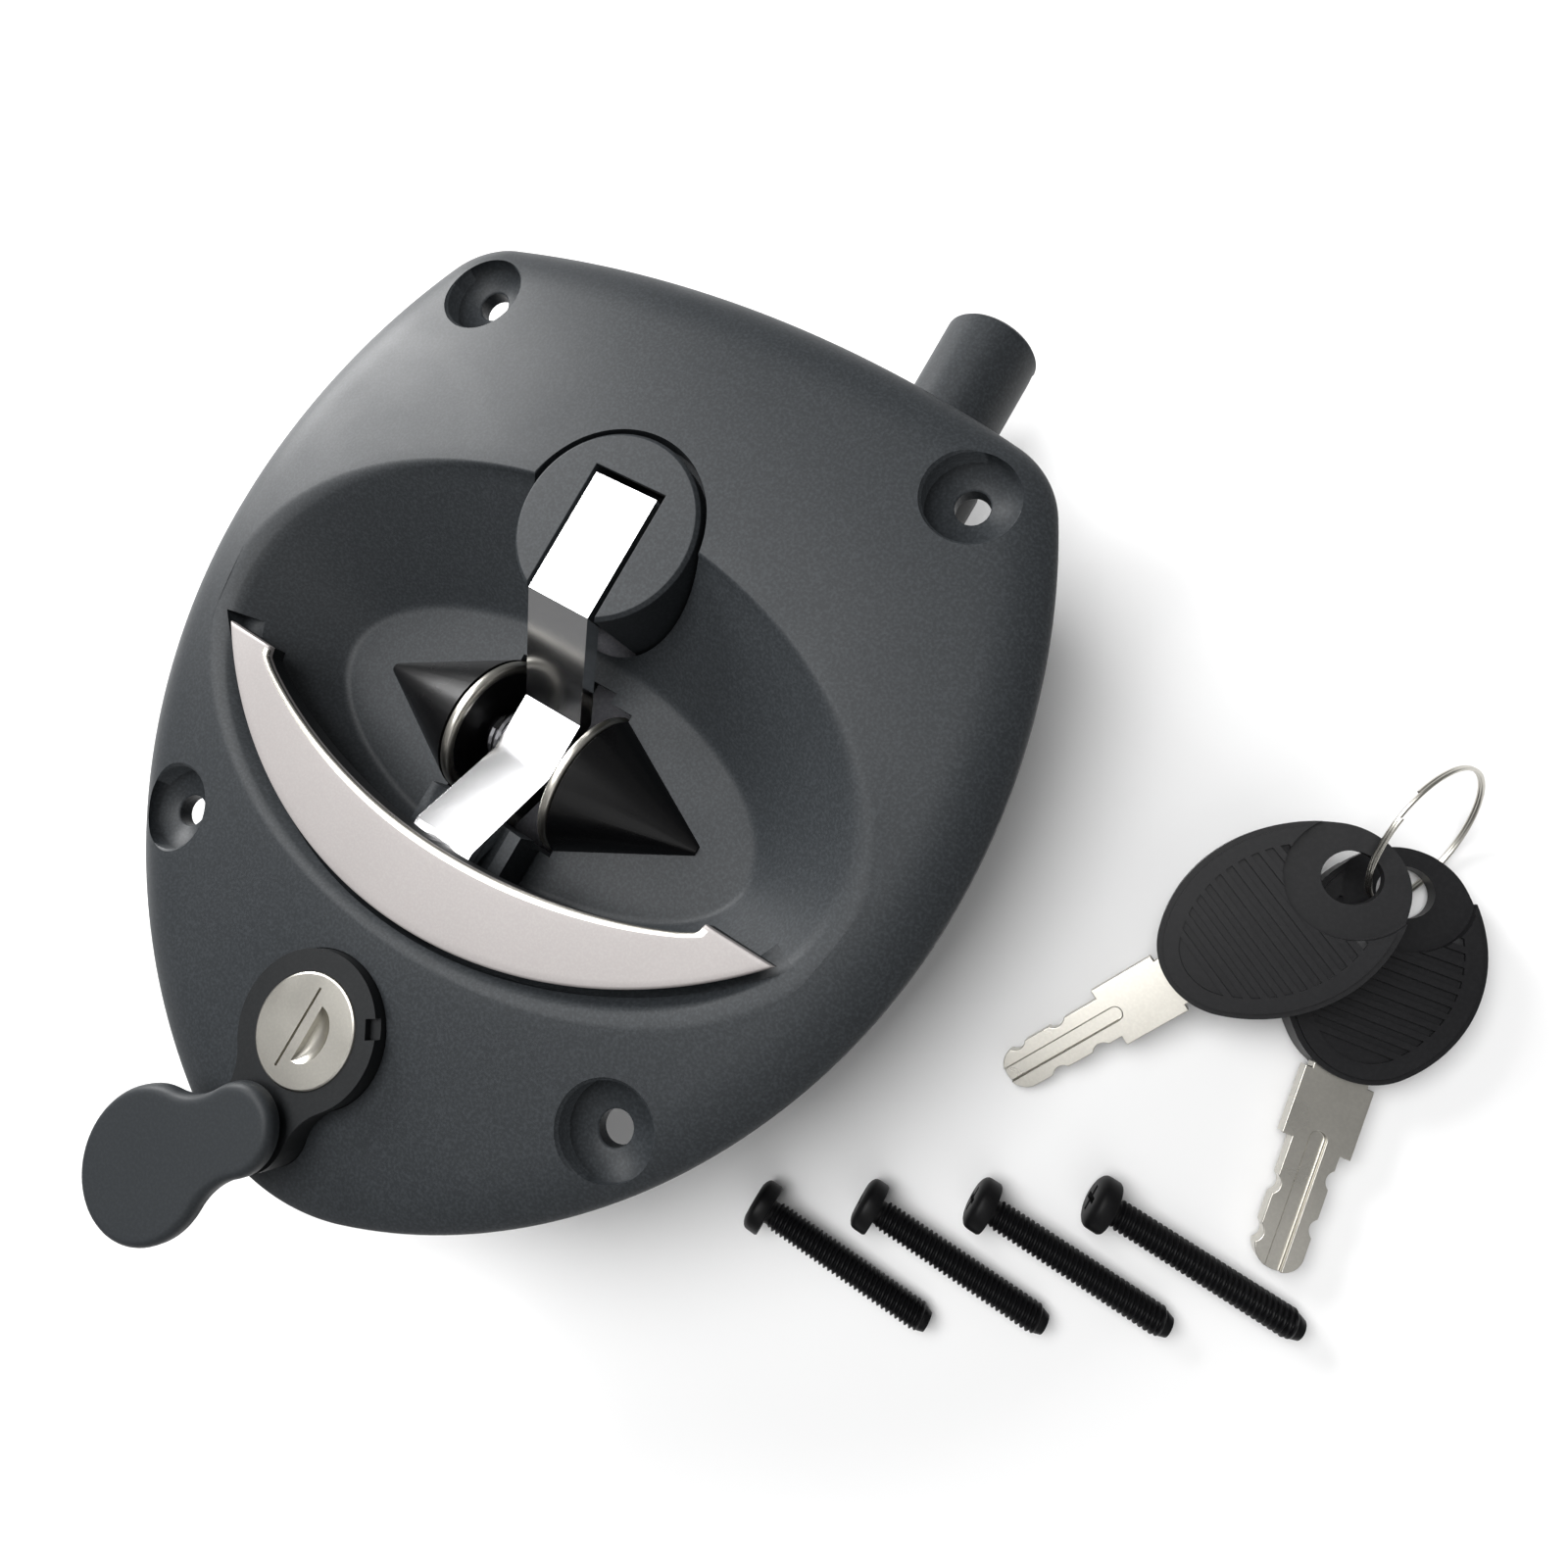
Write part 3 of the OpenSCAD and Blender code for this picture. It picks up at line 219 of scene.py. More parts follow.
@dataclass(frozen=True)
class Finish:
    """One surface finish.

    Metal finishes set metallic to 1 and show hairlines; paints and plastics show grain.
    """

    name: str
    slot: str
    colour: Colour
    fleck: Colour
    smooth: float
    rough: float
    metallic: float = 0.0
    grain_scale: float = 2600.0
    coarseness: float = 0.35
    fleck_share: float = 0.5
    bump: float = 0.12
    depth: float = 0.05
    coat: float = 0.0
    specular: float = 0.5
    lay: Lay | None = None

    def build(self, effects: SharedEffects) -> Material:
        """Makes the material.

        Args:
            effects: the shared node groups.

        Returns:
            The finished material.
        """
        material = bpy.data.materials.new(self.name)
        material.use_nodes = True
        material.node_tree.nodes.clear()
        material.diffuse_color = (*self.colour, 1.0)
        g = Graph(material.node_tree)
        spot = g.add("ShaderNodeTexCoord").outputs["Object"]
        grain = g.group(
            effects.grain, {"Coordinates": spot, "Scale": self.grain_scale, "Coarseness": self.coarseness}
        )
        handling = g.group(
            effects.handling,
            {"Coordinates": spot, "Scale": HANDLING_SCALE, "Smooth": self.smooth, "Rough": self.rough},
        )
        share = g.add("ShaderNodeMath", {0: grain["Fleck"], 1: self.fleck_share}, operation="MULTIPLY")
        tones = {0: share.outputs[0], 6: (*self.colour, 1.0), 7: (*self.fleck, 1.0)}
        tint = g.add("ShaderNodeMix", tones, data_type="RGBA")
        height = grain["Height"]
        if self.lay is not None:
            along = {"Coordinates": spot, "Lay": self.lay.value, "Scale": LINE_SCALE}
            height = g.group(effects.lines, along)["Height"]
        relief = {"Strength": self.bump, "Distance": self.depth * MM, "Height": height}
        bump = g.add("ShaderNodeBump", relief)
        shader = g.add(
            "ShaderNodeBsdfPrincipled",
            {
                "Base Color": tint.outputs[2],
                "Roughness": handling["Roughness"],
                "Metallic": self.metallic,
                "Normal": bump.outputs["Normal"],
                "Coat Weight": self.coat,
                "Coat Roughness": 0.08,
                "Specular IOR Level": self.specular,
            },
        )
        g.add("ShaderNodeOutputMaterial", {"Surface": shader.outputs[0]})
        return material


class Finishes:
    """Every finish of the lock, built once."""

    def __init__(self) -> None:
        """Builds the shared effects and all materials."""
        effects = SharedEffects(build_grain(), build_handling(), build_draw_lines())
        palette = [
            Finish("slate_cast_paint", "slate_casting", (0.022, 0.025, 0.028), (0.040, 0.045, 0.050),
                   0.42, 0.52, bump=0.22, fleck_share=0.7, specular=0.24),
            Finish("slate_moulding", "slate_plastic", (0.022, 0.025, 0.028), (0.032, 0.036, 0.040),
                   0.42, 0.52, bump=0.08, specular=0.24),
            Finish("black_moulding", "black_plastic", (0.012, 0.013, 0.014), (0.018, 0.019, 0.020),
                   0.40, 0.52, bump=0.1, specular=0.2),
            Finish("gloss_black_cone", "gloss_black", (0.002, 0.002, 0.0023), (0.004, 0.004, 0.0045),
                   0.24, 0.32, bump=0.015, coat=0.08, specular=0.3),
            Finish("polished_strap_steel", "polished_steel", (0.86, 0.86, 0.87), (0.90, 0.90, 0.91),
                   0.10, 0.17, metallic=1.0, bump=0.03, depth=0.02, lay=Lay.ALONG_Y),
            Finish("satin_silver_grip", "satin_silver", (0.36, 0.335, 0.328), (0.41, 0.385, 0.378),
                   0.40, 0.50, metallic=0.25, bump=0.05, grain_scale=3400.0),
            Finish("bright_nickel", "nickel", (0.56, 0.54, 0.49), (0.64, 0.62, 0.56),
                   0.24, 0.36, metallic=1.0, bump=0.05, depth=0.02, lay=Lay.ALONG_Y),
            # Zinc darkened to near black: painted shade on the works seen through the plate's openings.
            Finish("zinc_plate_painted_shade", "zinc_steel", (0.05, 0.05, 0.055), (0.08, 0.08, 0.085),
                   0.36, 0.5, metallic=1.0, bump=0.08),
            Finish("spring_wire_steel", "spring_steel", (0.42, 0.42, 0.44), (0.5, 0.5, 0.52),
                   0.25, 0.36, metallic=1.0, bump=0.05, lay=Lay.EVEN),
            Finish("wafer_brass", "brass", (0.66, 0.46, 0.2), (0.74, 0.54, 0.26),
                   0.25, 0.4, metallic=1.0, bump=0.06, lay=Lay.ALONG_X),
            Finish("plain_nylon", "nylon", (0.62, 0.59, 0.5), (0.68, 0.65, 0.56),
                   0.42, 0.55, bump=0.06),
            Finish("black_oxide", "black_steel", (0.0025, 0.0025, 0.003), (0.005, 0.005, 0.0055),
                   0.38, 0.52, bump=0.1, specular=0.18),
            Finish("key_moulding", "key_plastic", (0.009, 0.009, 0.010), (0.015, 0.015, 0.016),
                   0.36, 0.48, bump=0.12, grain_scale=2000.0, specular=0.2),
        ]
        self._built = {f.slot: f.build(effects) for f in palette}

    def __getitem__(self, slot: str) -> Material:
        """The material of a slot of the record."""
        return self._built[slot]


def link(mesh: Mesh, name: str) -> Object:
    """Puts a mesh into the scene as an object at the origin.

    Args:
        mesh: the mesh, in place.
        name: the name of mesh and object.

    Returns:
        The object.
    """
    mesh.name = name
    obj = bpy.data.objects.new(name, mesh)
    bpy.context.scene.collection.objects.link(obj)
    return obj


def smooth(mesh: Mesh, angle: float = 32.0) -> None:
    """Shades a mesh smooth, with its sharp edges kept."""
    mesh.shade_smooth()
    mesh.set_sharp_from_angle(angle=radians(angle))


def modify(obj: Object, kind: str, **settings: Any) -> Any:
    """Adds a modifier with its settings.

    Args:
        obj: the object that gets it.
        kind: the modifier's Blender type.
        settings: the modifier's own properties.

    Returns:
        The modifier.
    """
    step = obj.modifiers.new(kind.lower(), kind)
    for name, value in settings.items():
        setattr(step, name, value)
    return step


def evaluated(obj: Object) -> Mesh:
    """The mesh that an object's modifiers give.

    Args:
        obj: an object with modifiers.

    Returns:
        A plain mesh of its own.
    """
    graph = bpy.context.evaluated_depsgraph_get()
    graph.update()
    return bpy.data.meshes.new_from_object(obj.evaluated_get(graph))


def opened(mesh: Mesh) -> bmesh.types.BMesh:
    """Opens a mesh for editing.

    Args:
        mesh: the mesh to read.

    Returns:
        Its editable copy.
    """
    bm = bmesh.new()
    bm.from_mesh(mesh)
    return bm


def closed(bm: bmesh.types.BMesh, mesh: Mesh) -> Mesh:
    """Writes an edited mesh back and ends the editing.

    Args:
        bm: the editable copy, which is freed.
        mesh: the mesh to write to.

    Returns:
        The written mesh.
    """
    bm.to_mesh(mesh)
    bm.free()
    return mesh


def solid(node: str) -> bmesh.types.BMesh:
    """A merged copy of a node's solid, opened for editing.

    Args:
        node: the node's name.

    Returns:
        The editable copy.
    """
    bm = opened(frame["nodes"][node].data)
    bmesh.ops.remove_doubles(bm, verts=bm.verts, dist=SAME_SPOT)
    return bm


def at(x: float, y: float) -> Matrix:
    """A place in the plan, from millimetres."""
    return Matrix.Translation((x * MM, y * MM, 0))


def place(
    mesh: Mesh, name: str, body: Body, finish: tuple[Finishes, str], nodes: Iterable[str]
) -> Object:
    """Gives a finished mesh its material and hands it to its body.

    Args:
        mesh: the finished mesh, in place.
        name: the piece's name.
        body: the body that carries it.
        finish: all finishes, and the record's material slot of this piece.
        nodes: the nodes that the piece stands for.

    Returns:
        The new piece.
    """
    finishes, slot = finish
    obj = link(mesh, name)
    mesh.materials.clear()
    mesh.materials.append(finishes[slot])
    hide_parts(*nodes)
    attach(obj, body.value)
    log.info("%s: %d faces, on %s", obj.name, len(obj.data.polygons), body.value)
    return obj


@dataclass
class EasedPiece:
    """A piece that keeps its solid's shape and gets eased edges and smooth shading."""

    node: str
    name: str
    body: Body
    slot: str
    edge: float = 0.25
    segments: int = 2
    merge_angle: float = 0.4

    def shape(self) -> Mesh:
        """Makes a merged copy of the solid with eased edges.

        Returns:
            The mesh.
        """
        bm = solid(self.node)
        flat = radians(self.merge_angle)
        bmesh.ops.dissolve_limit(bm, angle_limit=flat, verts=bm.verts, edges=bm.edges)
        mesh = closed(bm, bpy.data.meshes.new(self.name))
        smooth(mesh)
        obj = link(mesh, self.name)
        modify(obj, "BEVEL", width=self.edge * MM, segments=self.segments, limit_method="ANGLE",
               angle_limit=BEVEL_FROM, use_clamp_overlap=True, harden_normals=True)
        modify(obj, "WEIGHTED_NORMAL", keep_sharp=True)
        done = evaluated(obj)
        bpy.data.objects.remove(obj)
        return done

    def build(self, finishes: Finishes) -> Object:
        """Makes the piece."""
        return place(self.shape(), self.name, self.body, (finishes, self.slot), [self.node])


@dataclass(frozen=True)
class Arc:
    """One arc of an outline, in steps that leave out its end."""

    centre: Pair
    radius: float
    start: float
    end: float
    steps: int

    def points(self, inset: float = 0.0) -> list[Pair]:
        """The arc's points.

        Args:
            inset: how much smaller the radius is.

        Returns:
            The points in order.
        """
        r, (x, y) = self.radius - inset, self.centre
        angles = [self.start + (self.end - self.start) * i / self.steps for i in range(self.steps)]
        return [(x + r * cos(a), y + r * sin(a)) for a in angles]


def meeting(c1: Pair, r1: float, c2: Pair, r2: float) -> Pair:
    """The meeting point of two circles with the larger X.

    Args:
        c1: first centre.
        r1: first radius.
        c2: second centre.
        r2: second radius.

    Returns:
        The point.
    """
    dx, dy = c2[0] - c1[0], c2[1] - c1[1]
    d = hypot(dx, dy)
    a = (r1 * r1 - r2 * r2 + d * d) / (2 * d)
    h = sqrt(max(r1 * r1 - a * a, 0.0))
    px, py = c1[0] + a * dx / d, c1[1] + a * dy / d
    return max((px - h * dy / d, py + h * dx / d), (px + h * dy / d, py - h * dx / d))


def heading(start: Pair, end: Pair) -> float:
    """The angle of the way from one point to another, in radians."""
    return atan2(end[1] - start[1], end[0] - start[0])


@dataclass
class ShieldOutline:
    """The plate's shield outline, in millimetres, from the solid's own sizes."""

    half_w: float = 62.0
    top_reach: float = 57.0
    tip_reach: float = 77.5
    side_r: float = 95.0
    flank_r: float = 82.0
    top_r: float = 198.0
    corner_r: float = 13.0

    def arcs(self) -> list[Arc]:
        """The arcs of the right half, from the lower tip to the top.

        Returns:
            Tip, flank, side, corner and top.
        """
        run = self.half_w - self.flank_r
        tip_r = (self.flank_r**2 - run**2 - self.tip_reach**2) / (2 * (self.flank_r - self.tip_reach))
        tip_c = (0.0, tip_r - self.tip_reach)
        flank_c = (run, 0.0)
        side_c = (self.half_w - self.side_r, 0.0)
        top_c = (0.0, self.top_reach - self.top_r)
        corner_c = meeting(side_c, self.side_r - self.corner_r, top_c, self.top_r - self.corner_r)
        a_tip, a_side = heading(flank_c, tip_c), heading(side_c, corner_c)
        a_top = heading(top_c, corner_c)
        return [
            Arc(tip_c, tip_r, -pi / 2, a_tip, 26),
            Arc(flank_c, self.flank_r, a_tip, 0.0, 50),
            Arc(side_c, self.side_r, 0.0, a_side, 26),
            Arc(corner_c, self.corner_r, a_side, a_top, 22),
            Arc(top_c, self.top_r, a_top, pi / 2, 28),
        ]

    def loop(self, inset: float) -> list[Pair]:
        """The closed outline moved inwards.

        Args:
            inset: the distance in millimetres.

        Returns:
            Points in order round the plate, from the lower tip.
        """
        right = [point for arc in self.arcs() for point in arc.points(inset)]
        right.append((0.0, self.top_reach - inset))
        return right + [(-x, y) for x, y in reversed(right[1:-1])]


def loft(rings: Sequence[Ring], name: str, round_trip: bool = False) -> Mesh:
    """A closed mesh through rings of equal length.

    Args:
        rings: the rings in order, in millimetres.
        name: the mesh's name.
        round_trip: whether the last ring joins the first; otherwise both ends are closed with a fan.

    Returns:
        The mesh, in metres.
    """
    n = len(rings[0])
    verts = [Vector(p) * MM for ring in rings for p in ring]
    faces: list[tuple[int, ...]] = []
    last = len(rings) if round_trip else len(rings) - 1
    for i in range(last):
        j = (i + 1) % len(rings)
        for k in range(n):
            m = (k + 1) % n
            faces.append((i * n + k, i * n + m, j * n + m, j * n + k))
    if not round_trip:
        for i, order in ((0, -1), (len(rings) - 1, 1)):
            hub = len(verts)
            verts.append(sum((Vector(p) for p in rings[i]), Vector()) / n * MM)
            for k in range(n):
                m = (k + 1) % n
                faces.append((i * n + m, i * n + k, hub)[::order])
    mesh = bpy.data.meshes.new(name)
    mesh.from_pydata(verts, [], faces)
    bm = opened(mesh)
    bmesh.ops.recalc_face_normals(bm, faces=bm.faces)
    if bm.calc_volume(signed=True) < 0:
        bmesh.ops.reverse_faces(bm, faces=bm.faces)
    return closed(bm, mesh)


def bent(start: Ring, corner: Ring, end: Ring, t: float) -> Ring:
    """A ring part of the way from one ring to another, drawn towards a third.

    Args:
        start: the ring it leaves.
        corner: the ring it is drawn towards.
        end: the ring it reaches.
        t: the share of the way.

    Returns:
        The ring.
    """
    return [
        tuple(Vector(a) * (1 - t) ** 2 + Vector(c) * (2 * t * (1 - t)) + Vector(b) * t * t)
        for a, c, b in zip(start, corner, end)
    ]


def round_edge(width: float, depth: float, angles: Sequence[float] = QUARTER) -> list[Pair]:
    """A rounded edge's way in from the side and its fall under the top, at each angle."""
    return [(width * (1 - cos(a)), depth * (1 - sin(a))) for a in angles]


def circle(radius: float, z: float, steps: int) -> Ring:
    """A level ring round the Z axis."""
    turns = [2 * pi * k / steps for k in range(steps)]
    return [(radius * cos(a), radius * sin(a), z) for a in turns]


def turned(profile: Sequence[Pair], matrix: Matrix, name: str, steps: int = 72) -> Mesh:
    """A closed turned shape.

    Args:
        profile: radius and height pairs in millimetres, from the foot up.
        matrix: its place, in metres.
        name: the mesh's name.
        steps: points round the axis.

    Returns:
        The mesh.
    """
    mesh = loft([circle(r, z, steps) for r, z in profile], name)
    mesh.transform(matrix)
    return mesh


def extruded(outline: Sequence[Pair], low: float, high: float, name: str) -> Mesh:
    """A closed prism over a plan.

    Args:
        outline: the plan's points in order, in millimetres.
        low: height of its foot.
        high: height of its top.
        name: the mesh's name.

    Returns:
        The mesh, in metres.
    """
    verts = [Vector((x, y, z)) * MM for z in (low, high) for x, y in outline]
    n = len(outline)
    faces: list[tuple[int, ...]] = [tuple(reversed(range(n))), tuple(range(n, 2 * n))]
    faces += [(k, (k + 1) % n, (k + 1) % n + n, k + n) for k in range(n)]
    mesh = bpy.data.meshes.new(name)
    mesh.from_pydata(verts, [], faces)
    bm = opened(mesh)
    bmesh.ops.recalc_face_normals(bm, faces=bm.faces)
    bmesh.ops.triangulate(bm, faces=bm.faces)
    return closed(bm, mesh)


def slab(xs: Pair, ys: Pair, zs: Pair, name: str) -> Mesh:
    """A closed block between two values on each axis, in millimetres."""
    (x0, x1), (y0, y1) = xs, ys
    return extruded([(x0, y0), (x1, y0), (x1, y1), (x0, y1)], *zs, name)


def carve(start: Mesh, cutters: Iterable[Mesh], operation: str = "DIFFERENCE") -> Mesh:
    """Cuts or joins closed meshes one after another.

    Args:
        start: the closed mesh to begin with.
        cutters: the closed meshes to use on it.
        operation: the boolean operation.

    Returns:
        The carved mesh.
    """
    base = link(start, "carved")
    for cutter in cutters:
        tool = link(cutter, "cutter")
        modify(base, "BOOLEAN", operation=operation, solver="MANIFOLD", object=tool)
        done = evaluated(base)
        base.modifiers.clear()
        base.data = done
        bpy.data.objects.remove(tool)
        if not done.polygons:
            raise RuntimeError(f"carving {cutter.name} left nothing")
    mesh = base.data
    bpy.data.objects.remove(base)
    return mesh


def repeated(host: Mesh, tree: NodeTree, values: dict[str, Any]) -> Mesh:
    """Runs a geometry node group on a mesh.

    Args:
        host: the mesh that goes in.
        tree: the node group.
        values: its inputs by name.

    Returns:
        The plain mesh that comes out.
    """
    obj = link(host, "host")
    step = modify(obj, "NODES", node_group=tree)
    for item in tree.interface.items_tree:
        if item.item_type == "SOCKET" and item.in_out == "INPUT" and item.name in values:
            step[item.identifier] = values[item.name]
    mesh = evaluated(obj)
    bpy.data.objects.remove(obj)
    return mesh


def geometry_group(
    name: str, inputs: dict[str, str], shape: Callable[[Graph, Any], NodeSocket]
) -> NodeTree:
    """A geometry node group that ends in real geometry with its material.

    Args:
        name: the group's name.
        inputs: the kind of each input by its name, besides Geometry and Finish.
        shape: adds the group's own nodes, from the graph and the inputs, and gives their geometry.

    Returns:
        The group.
    """
    tree = bpy.data.node_groups.new(name, "GeometryNodeTree")
    tree.interface.new_socket(name="Geometry", in_out="OUTPUT", socket_type="NodeSocketGeometry")
    for label, kind in {"Geometry": "Geometry", **inputs, "Finish": "Material"}.items():
        tree.interface.new_socket(name=label, in_out="INPUT", socket_type=f"NodeSocket{kind}")
    g = Graph(tree)
    start = g.add("NodeGroupInput").outputs
    real = g.add("GeometryNodeRealizeInstances", {"Geometry": shape(g, start)})
    dressed = g.add("GeometryNodeSetMaterial", {"Geometry": real.outputs[0], "Material": start["Finish"]})
    g.add("NodeGroupOutput", {"Geometry": dressed.outputs[0]})
    return tree


def straight_row(g: Graph, start: Any) -> NodeSocket:
    """Copies of the incoming mesh in a straight row.

    Args:
        g: the group's graph.
        start: the group's inputs.

    Returns:
        The copies.
    """
    line = g.add("GeometryNodeMeshLine", {"Count": start["Count"], "Offset": start["Step"]})
    row = g.add("GeometryNodeInstanceOnPoints", {"Points": line.outputs[0], "Instance": start["Geometry"]})
    return row.outputs[0]


def wire_coil(g: Graph, start: Any) -> NodeSocket:
    """Turns of round wire about Z, starting at the origin's height.

    Args:
        g: the group's graph.
        start: the group's inputs.

    Returns:
        The wire.
    """
    ends = {"Start Radius": start["Radius"], "End Radius": start["Radius"], "Height": start["Rise"]}
    path = g.add("GeometryNodeCurveSpiral", {"Resolution": 96, "Rotations": start["Turns"], **ends})
    section = g.add("GeometryNodeCurvePrimitiveCircle", {"Resolution": 14, "Radius": start["Wire"]})
    sweep = {"Curve": path.outputs[0], "Profile Curve": section.outputs[0], "Fill Caps": True}
    return g.add("GeometryNodeCurveToMesh", sweep).outputs[0]


def keep_curvature(carved: Mesh, blank: Mesh, angle: float = 28.0) -> None:
    """Gives the parts of a blank that a carving has left the blank's own smooth normals.

    Args:
        carved: the mesh after all cuts.
        blank: the mesh before them.
        angle: edges of the blank and of the cuts that are sharper than this stay sharp, in degrees.
    """
    bm = opened(blank)
    bmesh.ops.triangulate(bm, faces=bm.faces)
    closed(bm, blank)
    smooth(blank, angle)
    spots = [v.co.copy() for v in blank.vertices]
    tris = [tuple(p.vertices) for p in blank.polygons]
    corners = [n.vector.copy() for n in blank.corner_normals]
    tree = BVHTree.FromPolygons(spots, tris)
    smooth(carved, angle)
    left = []
    for face in carved.polygons:
        _, normal, index, gap = tree.find_nearest(face.center)
        left.append(index is not None and gap < SAME_FACE and normal.dot(face.normal) > SAME_SLOPE)
    owner: dict[int, int] = {}
    for face in carved.polygons:
        for k in face.loop_indices:
            edge = carved.loops[k].edge_index
            if edge in owner and left[owner[edge]] != left[face.index]:
                carved.edges[edge].use_edge_sharp = True
            owner[edge] = face.index
    normals = [n.vector.copy() for n in carved.corner_normals]
    for face in carved.polygons:
        if not left[face.index]:
            continue
        for k in face.loop_indices:
            spot = carved.vertices[carved.loops[k].vertex_index].co
            point, _, index, _ = tree.find_nearest(spot.lerp(face.center, INTO_FACE))
            weights = poly_3d_calc([spots[i] for i in tris[index]], point)
            blend = sum((corners[3 * index + i] * w for i, w in enumerate(weights)), Vector())
            if blend.length > 0.5:
                normals[k] = blend.normalized()
    carved.normals_split_custom_set(normals)


def dome(x: float, y: float, inset: float = 0.0) -> float:
    """Height of the domed face over a point, or of a surface that far inside it, in millimetres."""
    r = DOME_R - inset
    return CROWN - DOME_R + sqrt(r * r - x * x - y * y)


@dataclass
class FacePlate:
    """The cast plate with its drum, cones, discs and bolt. Sizes are in millimetres."""

    outline: ShieldOutline
    skin: float = 2.4
    rim_w: float = 7.0
    bowl_rim: tuple[float, float, float] = (52.5, 31.0, -8.5)
    bowl_floor: tuple[float, float, float] = (36.8, 17.0, -11.0)
    floor_z: float = -5.5
    floor_t: float = 3.0
    wall: float = 5.2
    lip: float = 0.7
    rim_z: float = 7.0
    foot_h: float = 0.6
    foot_in: float = 0.8
    edge_z: float = 2.1
    edge_in: float = 8.5
    edge_powers: Pair = (2.6, 0.62)
    edge_steps: int = 14
    swing: float = 3.0
    holes: Pair = (40.0, 43.5)
    drum: Pair = (20.0, 13.8)
    lock: Pair = (-54.7, 10.4)
    rivet: Pair = (-68.5, 5.9)

    def pillow(self, inset: float, x: float, y: float) -> float:
        """Height of the rounded edge at a distance inside the outline.

        Args:
            inset: the distance.
            x: place across the plate.
            y: place along the plate.

        Returns:
            The height.
        """
        t = min(inset / self.edge_in, 1.0)
        inner, outer = self.edge_powers
        share = (1.0 - (1.0 - t) ** inner) ** outer
        return self.edge_z + (dome(x, y) - self.edge_z) * share

    def bowl(self, z: float, grow: float = 0.0) -> Ring:
        """A ring of the bowl's wall, with a point for each of the outline's.

        Args:
            z: its height.
            grow: distance outside the wall.

        Returns:
            The ring's points.
        """
        share = (z - self.floor_z) / (self.rim_z - self.floor_z)
        rx, ry, cy = (f + (r - f) * share for f, r in zip(self.bowl_floor, self.bowl_rim))
        ring: Ring = []
        for x, y in self.outline.loop(0.0):
            ax, ay = x / self.bowl_rim[0], (y - self.bowl_rim[2]) / self.bowl_rim[1]
            d = hypot(ax, ay)
            ring.append(((rx + grow) * (ax / d), cy + (ry + grow) * (ay / d), z))
        return ring

    def _level(self, inset: float, z: float) -> Ring:
        """The outline moved inwards, at one height."""
        return [(x, y, z) for x, y in self.outline.loop(inset)]

    def _drawn_in(self, ring: Ring, share: float) -> Ring:
        """A ring drawn in towards the bowl's middle."""
        return [(x * share, y * share + self.bowl_floor[2] * (1 - share), z) for x, y, z in ring]

    def _domed(self, outer: list[Pair], inner: Ring, share: float, inset: float = 0.0) -> Ring:
        """A ring on the dome between two others.

        Args:
            outer: the outer plan.
            inner: the inner ring.
            share: the share of the way.
            inset: how far inside the face the dome lies.

        Returns:
            The ring.
        """
        ring: Ring = []
        for (ax, ay), (bx, by, _) in zip(outer, inner):
            x, y = ax + (bx - ax) * share, ay + (by - ay) * share
            ring.append((x, y, dome(x, y, inset)))
        return ring

    def blank(self) -> Mesh:
        """The plate before its holes: dome, pillow edge, bowl and the bowl's underside.

        Returns:
            The closed mesh.
        """
        under = self.bowl(self.floor_z - self.floor_t, self.wall)
        rings = [self._drawn_in(under, share) for share in (0.3, 0.7, 1.0)]
        rings += [self.bowl(0.0, self.wall), self._level(self.rim_w, 0.0), self._level(0.4, 0.0),
                  self._level(0.0, 0.4), self._level(0.0, self.edge_z * 0.6)]
        # The rings crowd towards the outline, where the edge bends most.
        for i in range(self.edge_steps + 1):
            inset = self.edge_in * (i / self.edge_steps) ** 1.9
            rings.append([(x, y, self.pillow(inset, x, y)) for x, y in self.outline.loop(inset)])
        lip = self.bowl(self.rim_z, self.lip * 1.4)
        shoulder = self.outline.loop(self.edge_in)
        rings += [self._domed(shoulder, lip, i / 9) for i in range(1, 10)]
        return loft(rings + self._bowl_rings(lip), "cast_plate")

    def _bowl_rings(self, outer: Ring) -> list[Ring]:
        """Rounded lip, wall, rounded foot and floor of the bowl.

        Args:
            outer: the lip's outer ring.

        Returns:
            The rings, from the lip inwards.
        """
        start = [(x, y, dome(x, y)) for x, y, _ in outer]
        top = self._wall_top()
        turn = [self._corner(ox, oy, wx, wy) for (ox, oy, _), (wx, wy, _) in zip(outer, top)]
        rings = [bent(start, turn, top, i / 7) for i in range(1, 7)] + [top]
        foot = self.bowl(self.floor_z + self.foot_h)
        for i in range(1, 12):
            rings.append([tuple(Vector(a).lerp(Vector(b), i / 12)) for a, b in zip(top, foot)])
        flat = self.bowl(self.floor_z, -self.foot_in)
        corner = self.bowl(self.floor_z)
        rings += [bent(foot, corner, flat, i / 4) for i in range(5)]
        return rings + [self._drawn_in(flat, share) for share in (0.8, 0.55, 0.3, 0.1)]

    def _corner(self, ox: float, oy: float, wx: float, wy: float) -> Point:
        """Where the dome and the bowl's wall would meet without a rounded lip."""
        x, y = ox + (wx - ox) * 0.45, oy + (wy - oy) * 0.45
        return x, y, dome(x, y)

    def _wall_top(self) -> Ring:
        """The ring on the wall where its rounded lip ends.

        Returns:
            The ring.
        """
        ring: Ring = []
        for (rx, ry, rz), (fx, fy, fz) in zip(self.bowl(self.rim_z), self.bowl(self.floor_z)):
            z = dome(rx, ry) - self.lip
            t = (z - fz) / (rz - fz)
            ring.append((fx + (rx - fx) * t, fy + (ry - fy) * t, z))
        return ring

